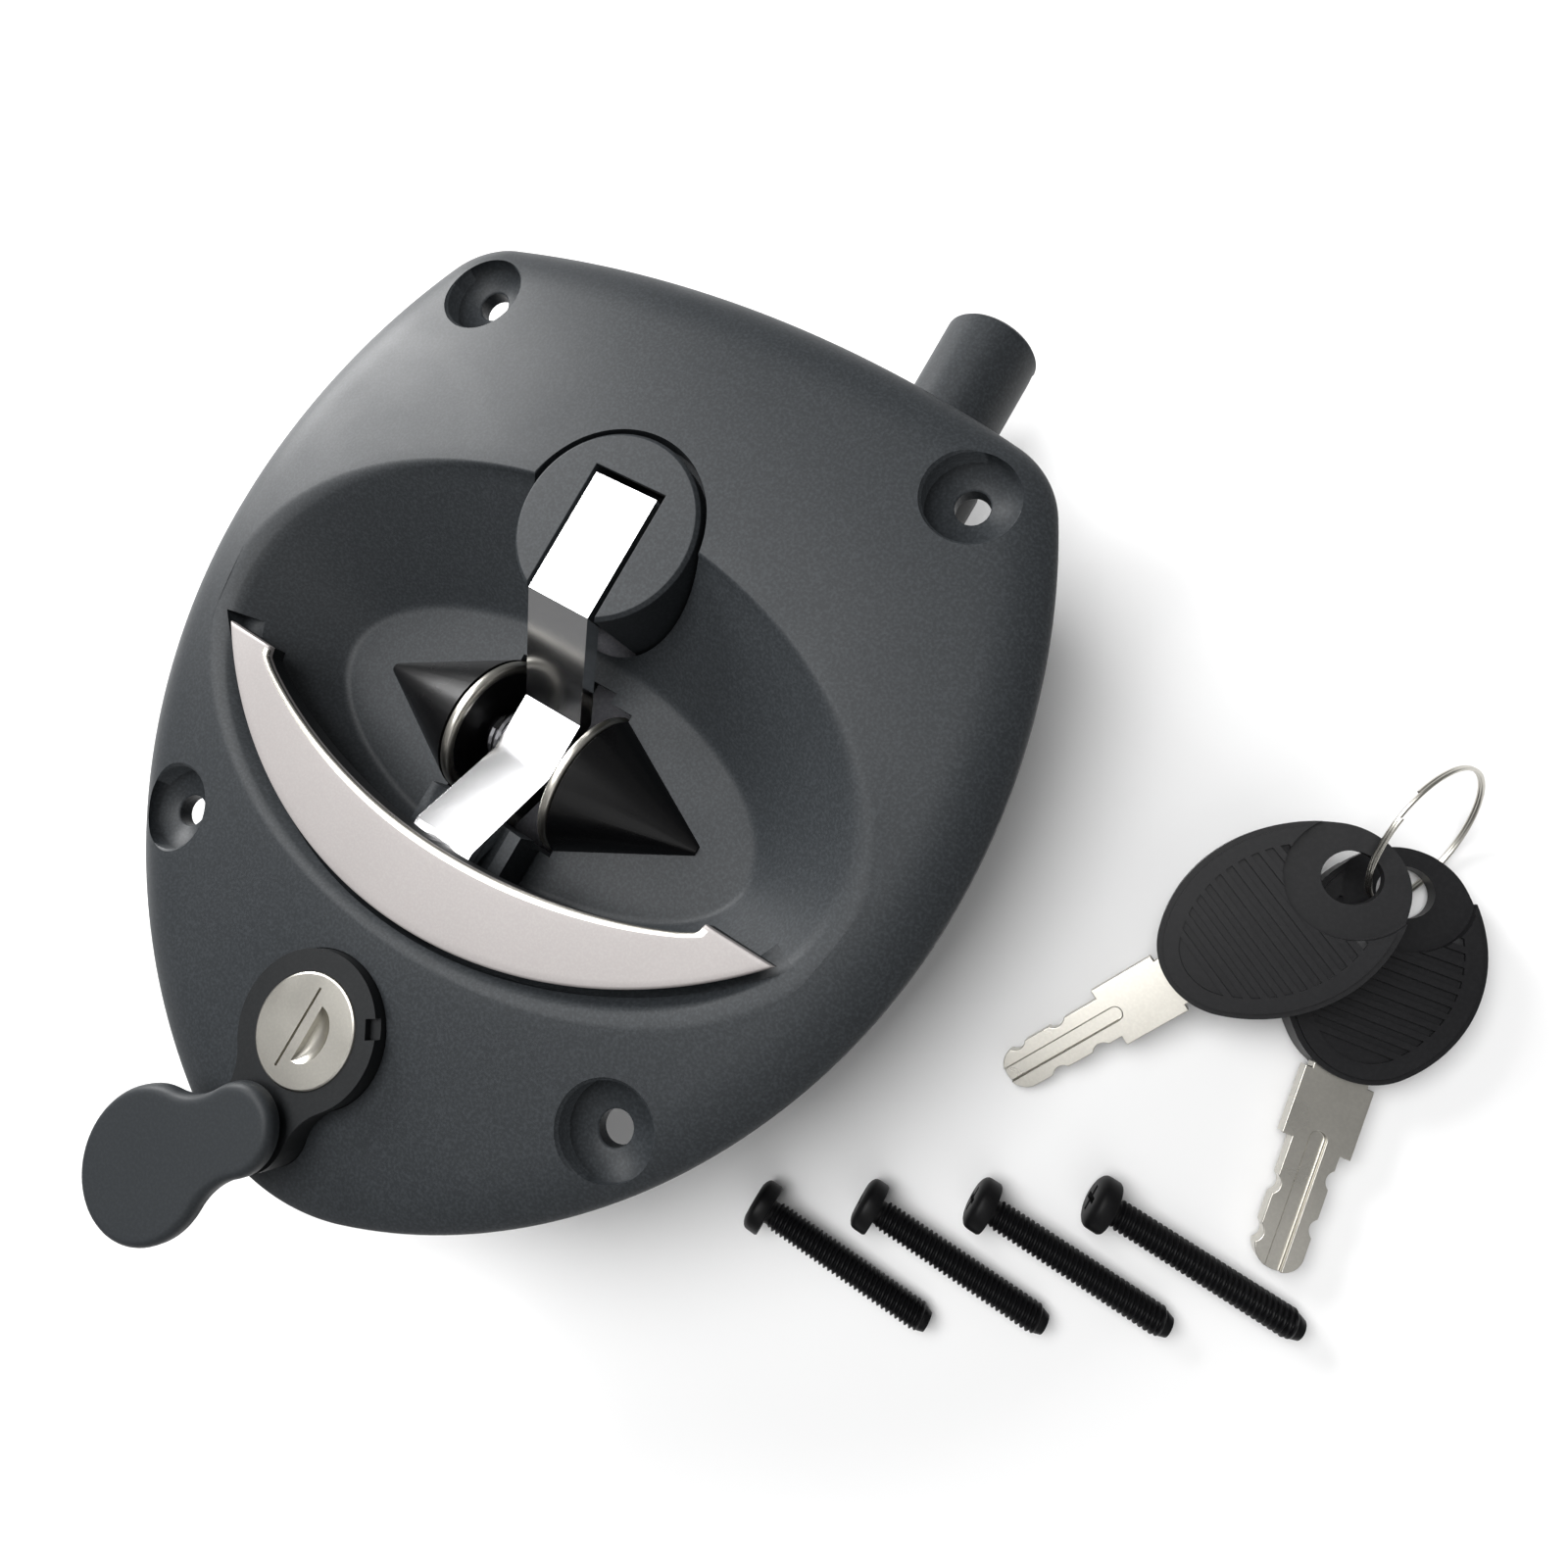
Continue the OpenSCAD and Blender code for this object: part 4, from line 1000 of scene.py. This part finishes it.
    def cavity(self) -> Mesh:
        """Room behind the plate's skin, a ring round the bowl.

        Returns:
            The closed mesh.
        """
        outer, inner = self.outline.loop(self.rim_w), self.bowl(5.0, self.wall)
        rings = [self.bowl(-1.0, self.wall), self._level(self.rim_w, -1.0)]
        rings += [self._domed(outer, inner, i / 4, self.skin) for i in range(5)]
        return loft(rings, "cavity", round_trip=True)

    def _hole_spots(self) -> list[Pair]:
        """Where the four fixing holes are."""
        hx, hy = self.holes
        return [(sx * hx, sy * hy) for sx in (-1, 1) for sy in (-1, 1)]

    def bosses(self) -> list[Mesh]:
        """Solid places inside the cavity.

        Returns:
            One mesh for each boss and rib.
        """
        rounds = [(x, y, 8.4) for x, y in self._hole_spots()]
        rounds += [(0, self.lock[0], 12.7), (0, self.rivet[0], 8.8), (-20, 39, 4.6), (10, 42.6, 4.6)]
        found = [turned([(r, -3), (r, 12)], at(x, y), "boss", 64) for x, y, r in rounds]
        found.append(turned([(20.5, 4.4), (20.5, 12)], at(0, self.drum[0]), "boss", 96))
        for side in (-1, 1):
            rib = slab((45, 75), (-0.9, 0.9), (1.0, 10.0), "rib")
            rib.transform(Matrix.Rotation(radians(90 + side * 62), 4, "Z"))
            found.append(rib)
        return found

    def leaning(self, x: float, y: float, z: float) -> Matrix:
        """A place whose axis stands square to the dome.

        Args:
            x: place across the plate.
            y: place along the plate.
            z: its height.

        Returns:
            The place, in metres.
        """
        normal = Vector((x, y, sqrt(DOME_R**2 - x * x - y * y)))
        turn = normal.to_track_quat("Z", "Y").to_matrix().to_4x4()
        return Matrix.Translation(Vector((x, y, z)) * MM) @ turn

    def grip_room(self, grow: float, count: int = 120) -> Mesh:
        """Room round the crescent, with more on the side that it swings to.

        Args:
            grow: the room on every side.
            count: steps along each edge.

        Returns:
            The closed mesh.
        """
        (out_c, out_r), (in_c, in_r), cut = GRIP_OUTER, GRIP_INNER, GRIP_CUT + grow
        out_r, in_r = out_r + grow, in_r - grow
        a_out, a_in = acos((out_c - cut) / out_r), acos((in_c - cut) / in_r)
        plan = []
        for i in range(count + 1):
            a = a_out * (2 * i / count - 1)
            plan.append((out_r * sin(a), out_c - out_r * cos(a)))
        for i in range(count + 1):
            a = a_in * (1 - 2 * i / count)
            plan.append((in_r * sin(a), in_c - in_r * cos(a) + self.swing))
        return extruded(plan, 2.54, 12.0, "grip_room")

    def cuts(self) -> list[Mesh]:
        """Everything that is cut from the blank.

        Returns:
            One mesh for each cut.
        """
        found = []
        for x, y in self._hole_spots():
            bore = [(2.25, -1), (2.25, 1.95), (2.5, 2.2), (6.0, 2.2), (6.0, 12)]
            found.append(turned(bore, at(x, y), "hole"))
            square = self.leaning(x, y, dome(x, y))
            found.append(turned([(5.0, -0.9), (6.05, -0.42), (7.6, 1.2)], square, "hole_edge"))
        y, r = self.drum
        drum = [(r, -20), (r, CROWN - 0.75), (r + 1.4, CROWN + 0.9)]
        found += [turned(drum, at(0, y), "bore", 128), self.grip_room(1.0)]
        # Rooms for the arm, the discs and the strap, then shallow reliefs in the flange's back.
        relief = (-1.0, 0.6)
        for name, xs, ys, zs in (
            ("arm_room", (-6.2, 6.2), (-35, -19), (0.14, 9.0)),
            ("disc_room", (-10.1, 10.1), (-22.2, 0.6), (-9.5, -3.0)),
            ("strap_room", (-6.2, 6.2), (0, 2.2), (-9.5, -3.0)),
            ("bolt_relief", (20.3, 35.3), (38, 80), relief),
            ("right_corner_relief", (31.3, 37.3), (34.7, 47.3), relief),
            ("left_corner_relief", (-37.3, -31.3), (34.7, 47.3), relief),
        ):
            found.append(slab(xs, ys, zs, name))
        found.append(turned([(14.16, -1), (14.16, 0.6)], at(0, self.lock[0]), "nut_relief", 96))
        return found

    def plate(self, finishes: Finishes) -> None:
        """Makes the cast plate.

        Args:
            finishes: every finish, by its slot.
        """
        room = carve(self.cavity(), self.bosses())
        blank = self.blank()
        block = slab((-8.2, 8.2), (-37, -21), (-8.5, 0.5), "arm_block")
        mesh = carve(blank.copy(), [block], "UNION")
        mesh = carve(mesh, [room, *self.cuts(), self._cone(-1), self._cone(1), *self._collar_room()])
        keep_curvature(mesh, blank)
        place(mesh, "cast_plate", Body.CASE, (finishes, "slate_casting"), ["face_plate"])

    def _cone(self, side: int) -> Mesh:
        """Room for one bearing cone, from the solid's own shape.

        Args:
            side: -1 for the left one, 1 for the right one.

        Returns:
            The closed mesh.
        """
        bm = solid("left_cone" if side < 0 else "right_cone")
        hull = bmesh.ops.convex_hull(bm, input=[v for v in bm.verts if v.co.z > -8.4 * MM])
        keep = {e for e in hull["geom"] if isinstance(e, bmesh.types.BMFace)}
        bmesh.ops.delete(bm, geom=[f for f in bm.faces if f not in keep], context="FACES")
        return closed(bm, bpy.data.meshes.new("cone_room"))

    def _collar_room(self) -> list[Mesh]:
        """Seat of the key cylinder and its hole.

        Returns:
            One mesh for each cut.
        """
        (y, r), (ry, rr) = self.lock, self.rivet
        return [
            turned([(r, 3.6), (r, 12)], at(0, y), "collar_seat", 96),
            turned([(rr, 3.6), (rr, 12)], at(0, ry), "rivet_seat", 64),
            turned([(8.4, -1), (8.4, 5)], at(0, y), "barrel_hole", 96),
            extruded([(-5.2, y - 5), (5.2, y - 5), (4.6, ry), (-4.6, ry)], 3.6, 12.0, "neck_seat"),
        ]

    def build(self, finishes: Finishes) -> None:
        """Builds every piece of the plate.

        Args:
            finishes: every finish, by its slot.
        """
        self.plate(finishes)
        for piece in (
            EasedPiece("guide_drum", "slotted_drum", Body.CASE, "slate_casting", edge=0.35, segments=3),
            EasedPiece("left_cone", "left_bearing_cone", Body.CASE, "gloss_black", edge=0.2),
            EasedPiece("right_cone", "right_bearing_cone", Body.CASE, "gloss_black", edge=0.2),
            EasedPiece("bolt", "round_bolt", Body.BOLT, "slate_casting"),
        ):
            piece.build(finishes)
        for side, name in ((-1, "left"), (1, "right")):
            SideDisc(side, name).build(finishes)


@dataclass
class SideDisc:
    """A disc beside the strap: a bright rim round a glossy black web. Sizes are in millimetres."""

    side: int
    name: str
    radius: float = 10.8
    rim_w: float = 1.55
    thick: float = 1.4
    face_x: float = 8.4
    axle: Pair = (-10.8, -8.3)

    def build(self, finishes: Finishes) -> None:
        """Builds rim and web.

        Args:
            finishes: every finish, by its slot.
        """
        inner = self.radius - self.rim_w
        ease, low, high = 0.3, 0.01, self.thick - 0.01
        rim = [(inner, high), (inner, low + ease), (inner + ease, low), (self.radius - ease, low),
               (self.radius - ease * 0.3, low + ease * 0.3), (self.radius, low + ease),
               (self.radius, high - ease), (self.radius - ease, high)]
        web = [(2.2, high), (2.2, 0.7), (3.6, 0.62), (3.9, 0.75),
               (inner - 0.6, 0.75), (inner, 0.62), (inner, high)]
        for part, profile, slot in (("rim", rim, "nickel"), ("web", web, "gloss_black")):
            mesh = self._ring(profile)
            smooth(mesh, 50)
            place(mesh, f"{self.name}_disc_{part}", Body.CASE, (finishes, slot), [f"{self.name}_disc"])

    def _ring(self, profile: Sequence[Pair]) -> Mesh:
        """A closed ring round the axle.

        Args:
            profile: radius and distance outwards from the disc's inner face, round the section.

        Returns:
            The mesh.
        """
        y, z = self.axle
        rings: list[Ring] = []
        for r, across in profile:
            x = self.side * (self.face_x + across)
            rings.append([(x, y + b, z + c) for b, c, _ in circle(r, 0.0, 128)])
        return loft(rings, "disc_ring", round_trip=True)


@dataclass
class Handle:
    """The rocking handle: polished strap and crescent grip. Sizes are in millimetres."""

    face_t: float = 1.1
    foot_z: float = 3.75
    edge: float = 0.4
    inner_edge: float = 0.95
    beak: float = 1.7
    beak_rise: float = 1.1
    beak_fade: Pair = (2.0, 12.0)

    def build(self, finishes: Finishes) -> None:
        """Builds the strap and the crescent.

        Args:
            finishes: every finish, by its slot.
        """
        EasedPiece("handle_strap", "bent_strap", Body.HANDLE, "polished_steel", segments=3).build(finishes)
        for name, slot, low, high, shrink in (
            ("face", "satin_silver", None, 0.0, 0.0),
            # The black body under the satin face darkens the crescent's walls: painted shade along its
            # sides.
            ("body", "black_plastic", self.foot_z, self.face_t, 0.12),
        ):
            mesh = self._layer(low, high, shrink)
            smooth(mesh, 35)
            place(mesh, f"crescent_{name}", Body.HANDLE, (finishes, slot), ["crescent_grip"])
        bevel = self._bevel()
        smooth(bevel, 35)
        place(bevel, "crescent_bevel", Body.HANDLE, (finishes, "nickel"), ["crescent_grip"])

    def _edges(self, t: float) -> tuple[Vector, Vector]:
        """Both edges of the crescent's plan, with the horns' beaks.

        Args:
            t: the share of the crescent's length.

        Returns:
            A point on the outer edge and one on the inner edge.
        """
        (out_c, out_r), (in_c, in_r) = GRIP_OUTER, GRIP_INNER
        a_out = acos((out_c - GRIP_CUT) / out_r) * (2 * t - 1)
        a_in = acos((in_c - GRIP_CUT) / in_r) * (2 * t - 1)
        outer = Vector((out_r * sin(a_out), out_c - out_r * cos(a_out)))
        inner = Vector((in_r * sin(a_in), in_c - in_r * cos(a_in)))
        run = GRIP_CUT - inner.y
        late, wide = self.beak_fade
        shares = (run / self.beak_rise, (run - late) / wide)
        rise, fade = (min(max(share, 0.0), 1.0) for share in shares)
        depth = self.beak * rise * (1.0 - fade) ** 2
        way = outer - inner
        return outer, inner + way * min(depth / max(way.length, 0.1), 0.5)

    def _layer(self, low: float | None, drop: float, shrink: float) -> Mesh:
        """One layer of the crescent as a closed loft along its length.

        Args:
            low: height of its flat underside, or None for one that follows the dome.
            drop: how far its top lies under the dome.
            shrink: how far its sides stand back.

        Returns:
            The mesh.
        """
        rings: list[Ring] = []
        ease = self.edge if low is None else 0.05
        length = 2 * GRIP_OUTER[1] * acos((GRIP_OUTER[0] - GRIP_CUT) / GRIP_OUTER[1])
        tip = round_edge(ease, ease, (0.0, 0.5, 1.0, pi / 2))
        stations = [((shrink + back) / length, dip) for back, dip in tip]
        first = stations[-1][0]
        middle = [(first + (1 - 2 * first) * i / 180, 0.0) for i in range(1, 180)]
        stations += middle + [(1 - t, dip) for t, dip in reversed(stations)]
        for t, dip in stations:
            outer, inner = self._edges(t)
            way = (inner - outer).normalized()
            outer, inner = outer + way * shrink, inner - way * shrink
            wide = (inner - outer).length
            inward = min(self.inner_edge, 0.4 * wide) if low is None else ease
            across = round_edge(ease, ease)
            across += [(ease + (wide - ease - inward) * i / 10, 0.0) for i in range(1, 10)]
            across += [(wide - off, fall) for off, fall in reversed(round_edge(inward, ease))]
            ring: Ring = []
            for off, fall in across:
                p = outer + way * off
                ring.append((p.x, p.y, dome(p.x, p.y) - drop - max(fall, dip)))
            for off in (wide, wide / 2, 0.0):
                p = outer + way * off
                foot = dome(p.x, p.y) - self.face_t if low is None else low
                ring.append((p.x, p.y, foot))
            rings.append(ring)
        return loft(rings, "crescent_layer")

    def _bevel(self, proud: float = 0.015, thick: float = 0.2) -> Mesh:
        """The bright bevel along the crescent's inner edge, a thin strip.

        Args:
            proud: how far it stands out.
            thick: its thickness.

        Returns:
            The closed mesh.
        """
        rings: list[Ring] = []
        for i in range(181):
            outer, inner = self._edges(0.012 + 0.976 * i / 180)
            way = (inner - outer).normalized()
            wide = (inner - outer).length
            top: Ring = []
            for off, fall in reversed(round_edge(min(self.inner_edge, 0.4 * wide), self.edge)):
                p = outer + way * (wide + proud - off)
                top.append((p.x, p.y, dome(p.x, p.y) - fall + proud))
            rings.append(top + [(x, y, z - thick) for x, y, z in reversed(top)])
        return loft(rings, "crescent_bevel")


@dataclass
class KeyCylinder:
    """Collar, plug face and swivelling cover. Sizes are in millimetres."""

    lock_y: float = -54.7
    pivot_y: float = -68.5
    face_z: float = 8.48
    face_r: float = 7.4
    cover_z: float = 9.12
    cover_t: float = 2.06
    cover_r: float = 9.8
    small_r: float = 5.8
    spacing: float = 13.8
    fillet_r: float = 8.0
    cover_angle: float = 141.0

    def build(self, finishes: Finishes) -> None:
        """Builds the visible pieces of the lock cylinder.

        Args:
            finishes: every finish, by its slot.
        """
        EasedPiece("lock_body", "cylinder_collar", Body.CASE, "black_plastic", edge=0.3).build(finishes)
        self._key_face(finishes)
        self._cover(finishes)
        rivet = turned([(1.6, 4.4), (1.6, 10.5)], at(0, self.pivot_y), "rivet", 48)
        smooth(rivet)
        place(rivet, "cover_pin", Body.CASE, (finishes, "slate_plastic"), ["cover_rivet"])

    def _key_face(self, finishes: Finishes) -> None:
        """Silver face with its thin keyway and half-moon scoop, on the turning plug.

        Args:
            finishes: every finish, by its slot.
        """
        top, r = self.face_z, self.face_r
        face = [(r - 0.3, top - 1.4), (r, top - 1.2), (r, top - 0.28), (r - 0.08, top - 0.1),
                (r - 0.28, top), (r - 0.5, top)]
        slit = slab((-1.2, -0.85), (self.lock_y - 5.6, self.lock_y + 5.6), (top - 0.9, top + 1), "slit")
        disc = carve(turned(face, at(0, self.lock_y), "key_face", 96), [slit, self._scoop()])
        stem = turned([(6.2, -18.1), (6.2, top - 1.45)], at(0, self.lock_y), "plug_stem", 72)
        for mesh, name in ((disc, "key_face"), (stem, "plug_stem")):
            smooth(mesh, 22)
            place(mesh, name, Body.PLUG, (finishes, "nickel"), ["lock_plug"])

    def _scoop(self) -> Mesh:
        """The half-moon hollow: steep along the keyway, rising gently to its arc.

        Returns:
            The closed mesh.
        """
        rings: list[Ring] = []
        count = 40
        for depth, share in ((-0.5, 1.12), (0.0, 1.0), (0.45, 0.86), (0.8, 0.66), (0.98, 0.4)):
            angles = [pi * (k / (count - 1) - 0.5) for k in range(count)]
            rings.append([(0.55 + 3.1 * share * cos(a), 3.9 * share * sin(a) + self.lock_y,
                           self.face_z - depth) for a in angles])
        return loft(rings, "scoop")

    def _cover(self, finishes: Finishes) -> None:
        """The figure-eight cover with its soft edge, closed above the pin.

        Args:
            finishes: every finish, by its slot.
        """
        base, top, ease = self.cover_z, self.cover_z + self.cover_t, 1.1
        levels = [(-0.3, base), (0.0, base + 0.3)]
        for i in range(8):
            a = pi / 2 * i / 7
            levels.append((-ease * (1 - cos(a)), top - ease * (1 - sin(a))))
        levels.append((-1.6, top))
        cover = loft([[(x, y, z) for x, y in self._lobes(grow)] for grow, z in levels], "swivel_cover")
        cover.transform(at(0, self.pivot_y) @ Matrix.Rotation(radians(self.cover_angle), 4, "Z"))
        hole = turned([(1.7, base - 1), (1.7, base + 1.55)], at(0, self.pivot_y), "pin_hole", 48)
        cover = carve(cover, [hole])
        smooth(cover, 35)
        place(cover, "swivel_cover", Body.COVER, (finishes, "slate_plastic"), ["dust_cover"])

    def _lobes(self, grow: float) -> list[Pair]:
        """Plan of the cover: two rounds joined by hollow flanks, its pivot at the origin.

        Args:
            grow: how far it stands outside the true plan.

        Returns:
            The points in order.
        """
        big, small, fillet = self.cover_r + grow, self.small_r + grow, self.fillet_r - grow
        gap = self.spacing
        d1, d2 = big + fillet, small + fillet
        along = (d2 * d2 - d1 * d1 + gap * gap) / (2 * gap)
        side = sqrt(d2 * d2 - along * along)
        neck_small, neck_big = atan2(along, side), atan2(gap - along, side)
        arcs = (
            Arc((0, 0), small, -pi - neck_small, neck_small, 40),
            Arc((side, along), fillet, pi + neck_small, pi - neck_big, 14),
            Arc((0, gap), big, -neck_big, pi + neck_big, 60),
            Arc((-side, along), fillet, neck_big, -neck_small, 14),
        )
        return [point for arc in arcs for point in arc.points()]


@dataclass
class LooseKeys:
    """Two keys on their split ring. Sizes are in millimetres."""

    ring_r: float = 9.5
    wire: float = 0.26
    shift: float = 0.27
    turns: float = 1.94
    ring_centre: Point = (105.15, 36.03, -17.77)
    ring_tilt: Pair = (22.3, 54.8)

    def build(self, finishes: Finishes) -> None:
        """Builds bows, blades and ring.

        Args:
            finishes: every finish, by its slot.
        """
        for key in ("key_a", "key_b"):
            EasedPiece(f"{key}_bow", f"{key}_grip", Body.CASE, "key_plastic").build(finishes)
            EasedPiece(f"{key}_blade", f"{key}_shank", Body.CASE, "nickel", edge=0.12).build(finishes)
        self._split_ring(finishes)

    def _split_ring(self, finishes: Finishes) -> None:
        """Two turns of wire that lie against each other.

        Args:
            finishes: every finish, by its slot.
        """
        values = {"Turns": self.turns, "Radius": self.ring_r * MM, "Rise": 2 * self.shift * MM,
                  "Wire": self.wire * MM, "Finish": finishes["nickel"]}
        kinds = dict.fromkeys(("Turns", "Radius", "Rise", "Wire"), "Float")
        coil = geometry_group("wire_coil", kinds, wire_coil)
        ring = repeated(bpy.data.meshes.new("ring_host"), coil, values)
        turn = Matrix.Identity(4)
        for angle, axis in zip((*(radians(a) for a in self.ring_tilt), RING_START), "XYZ"):
            turn @= Matrix.Rotation(angle, 4, axis)
        middle = Matrix.Translation((0, 0, -self.shift * MM))
        ring.transform(Matrix.Translation(Vector(self.ring_centre) * MM) @ turn @ middle)
        smooth(ring, 50)
        place(ring, "split_ring", Body.CASE, (finishes, "nickel"), ["key_ring"])


@dataclass
class FixingScrews:
    """The four loose pan-head screws. Sizes are in millimetres."""

    count: int = 4
    first: Point = (58.5, -50.0, -22.85)
    step: Point = (12.4, 8.7, 0.0)
    length: float = 25.0
    major: float = 1.98
    minor: float = 1.6
    pitch: float = 0.7
    flank: Pair = (1.35, 3.2)
    nominal_r: float = 2.0
    head_r: float = 3.6
    head_h: float = 2.6
    around: int = 40

    def _threaded(self, z: float, reach: float) -> Ring:
        """A ring across the thread: its radius follows the helix.

        Args:
            z: its height.
            reach: share of the full thread depth, less than 1 near both ends.

        Returns:
            The ring.
        """
        ring: Ring = []
        top, slope = self.flank
        for k in range(self.around):
            a = 2 * pi * k / self.around
            phase = (z / self.pitch - k / self.around) % 1.0
            height = min(max(top - abs(phase - 0.5) * slope, 0.0), 1.0)
            r = self.minor + (self.major - self.minor) * height * reach
            ring.append((r * cos(a), r * sin(a), z))
        return ring

    def screw(self) -> Mesh:
        """One screw along +Z, its shoulder at the origin.

        Returns:
            The closed mesh.
        """
        head = [(1.2, -2.6), (2.45, -2.6), (2.95, -2.42), (3.35, -2.15), (3.55, -1.85), (3.6, -1.5),
                (3.6, -0.25), (3.45, 0.0), (self.minor + 0.1, 0.0), (self.minor, 0.3)]
        rings = [circle(r, z, self.around) for r, z in head]
        steps = int((self.length - 1.2) / (self.pitch / 8))
        for i in range(steps + 1):
            z = 0.5 + (self.length - 1.2) * i / steps
            reach = min(i / 8, 1.0) * min((steps - i) / 8, 1.0)
            rings.append(self._threaded(z, reach))
        rings.append(circle(self.minor - 0.25, self.length, self.around))
        arm, wide = 1.75, 0.42
        cross = [(wide, arm), (wide, wide), (arm, wide), (arm, -wide), (wide, -wide), (wide, -arm),
                 (-wide, -arm), (-wide, -wide), (-arm, -wide), (-arm, wide), (-wide, wide), (-wide, arm)]
        recess = extruded(cross, -self.head_h - 1, -self.head_h + 1.3, "cross_recess")
        return carve(loft(rings, "screw"), [recess])

    def build(self, finishes: Finishes) -> None:
        """Builds the row of screws.

        Args:
            finishes: every finish, by its slot.
        """
        screw = self.screw()
        tilt = asin((self.head_r - self.nominal_r) / self.length) + pi / 2
        screw.transform(Matrix.Translation(Vector(self.first) * MM) @ Matrix.Rotation(tilt, 4, "Y"))
        values = {"Count": self.count, "Step": Vector(self.step) * MM, "Finish": finishes["black_steel"]}
        copies = geometry_group("straight_row", {"Count": "Int", "Step": "Vector"}, straight_row)
        row = repeated(screw, copies, values)
        smooth(row, 38)
        place(row, "pan_head_screws", Body.CASE, (finishes, "black_steel"), ["mounting_screws"])


@dataclass
class HiddenWorks:
    """Pieces inside or behind the plate: their solids get the right finish."""

    def build(self, finishes: Finishes) -> None:
        """Dresses every node that no piece has replaced.

        Args:
            finishes: every finish, by its slot.
        """
        slots = {part["node"]: part["material_slot"] for part in frame["record"]["subparts"]}
        for name, node in frame["nodes"].items():
            if node.hide_render:
                continue
            node.data.materials.clear()
            node.data.materials.append(finishes[slots[name]])
            log.info("%s keeps its solid, in %s", name, slots[name])


@dataclass
class Studio:
    """Pale floor, soft light and the camera of the product view. Places are in metres."""

    floor_z: float = -0.0265
    eye: Point = (0.0692, -0.0011, 0.1068)
    right: Point = (0.832, 0.499, -0.242)
    up: Point = (-0.469, 0.866, 0.175)
    back: Point = (0.296, -0.032, 0.955)
    lens: float = 20.51

    def build(self) -> None:
        """Makes floor, world, lights and camera."""
        self._floor()
        self._world()
        self._light("key_softbox", (-0.60, 0.17, 0.26), 0.30, 5.5)
        self._light("top_softbox", (-0.17, 0.03, 0.60), 0.50, 4.4)
        self._light("fill_softbox", (0.35, -0.35, 0.5), 0.5, 0.5)
        self._camera()

    def _floor(self) -> None:
        """A wide pale sheet under everything."""
        bm = bmesh.new()
        bmesh.ops.create_grid(bm, x_segments=8, y_segments=8, size=3.0)
        bmesh.ops.translate(bm, verts=bm.verts, vec=(0, 0, self.floor_z))
        mesh = closed(bm, bpy.data.meshes.new("pale_floor"))
        floor = link(mesh, "pale_floor")
        material = bpy.data.materials.new("pale_floor_paper")
        material.use_nodes = True
        shader = material.node_tree.nodes["Principled BSDF"]
        shader.inputs["Base Color"].default_value = (0.93, 0.93, 0.93, 1.0)
        shader.inputs["Roughness"].default_value = 0.8
        mesh.materials.append(material)

    def _world(self) -> None:
        """Even white surroundings."""
        world = bpy.data.worlds.new("studio_surroundings")
        bpy.context.scene.world = world
        world.use_nodes = True
        sky = world.node_tree.nodes["Background"].inputs
        sky["Color"].default_value = (1.0, 1.0, 1.0, 1.0)
        sky["Strength"].default_value = 0.2

    def _light(self, name: str, spot: Point, size: float, power: float) -> None:
        """One soft square light that faces the lock.

        Args:
            name: the light's name.
            spot: its place.
            size: its side.
            power: its power in watts.
        """
        light = bpy.data.lights.new(name, "AREA")
        light.size = size
        light.energy = power
        obj = bpy.data.objects.new(name, light)
        obj.location = spot
        obj.rotation_euler = Vector(spot).to_track_quat("Z", "Y").to_euler()
        bpy.context.scene.collection.objects.link(obj)

    def _camera(self) -> None:
        """The camera at the product view's place and angle."""
        data = bpy.data.cameras.new("product_view")
        data.sensor_width = 36.0
        data.lens = self.lens
        data.clip_start = 0.005
        camera = bpy.data.objects.new("product_view", data)
        turn = Matrix((self.right, self.up, self.back)).transposed().to_4x4()
        camera.matrix_world = Matrix.Translation(self.eye) @ turn
        bpy.context.scene.collection.objects.link(camera)
        bpy.context.scene.camera = camera


def main() -> None:
    """Builds the lock piece by piece."""
    logging.basicConfig(level=logging.INFO, format="%(name)s: %(message)s")
    finishes = Finishes()
    plate = FacePlate(ShieldOutline())
    for assembly in (plate, Handle(), KeyCylinder(), LooseKeys(), FixingScrews(), HiddenWorks()):
        assembly.build(finishes)
    Studio().build()
    bpy.context.scene.view_settings.view_transform = "Standard"


if __name__ == "__main__":
    main()
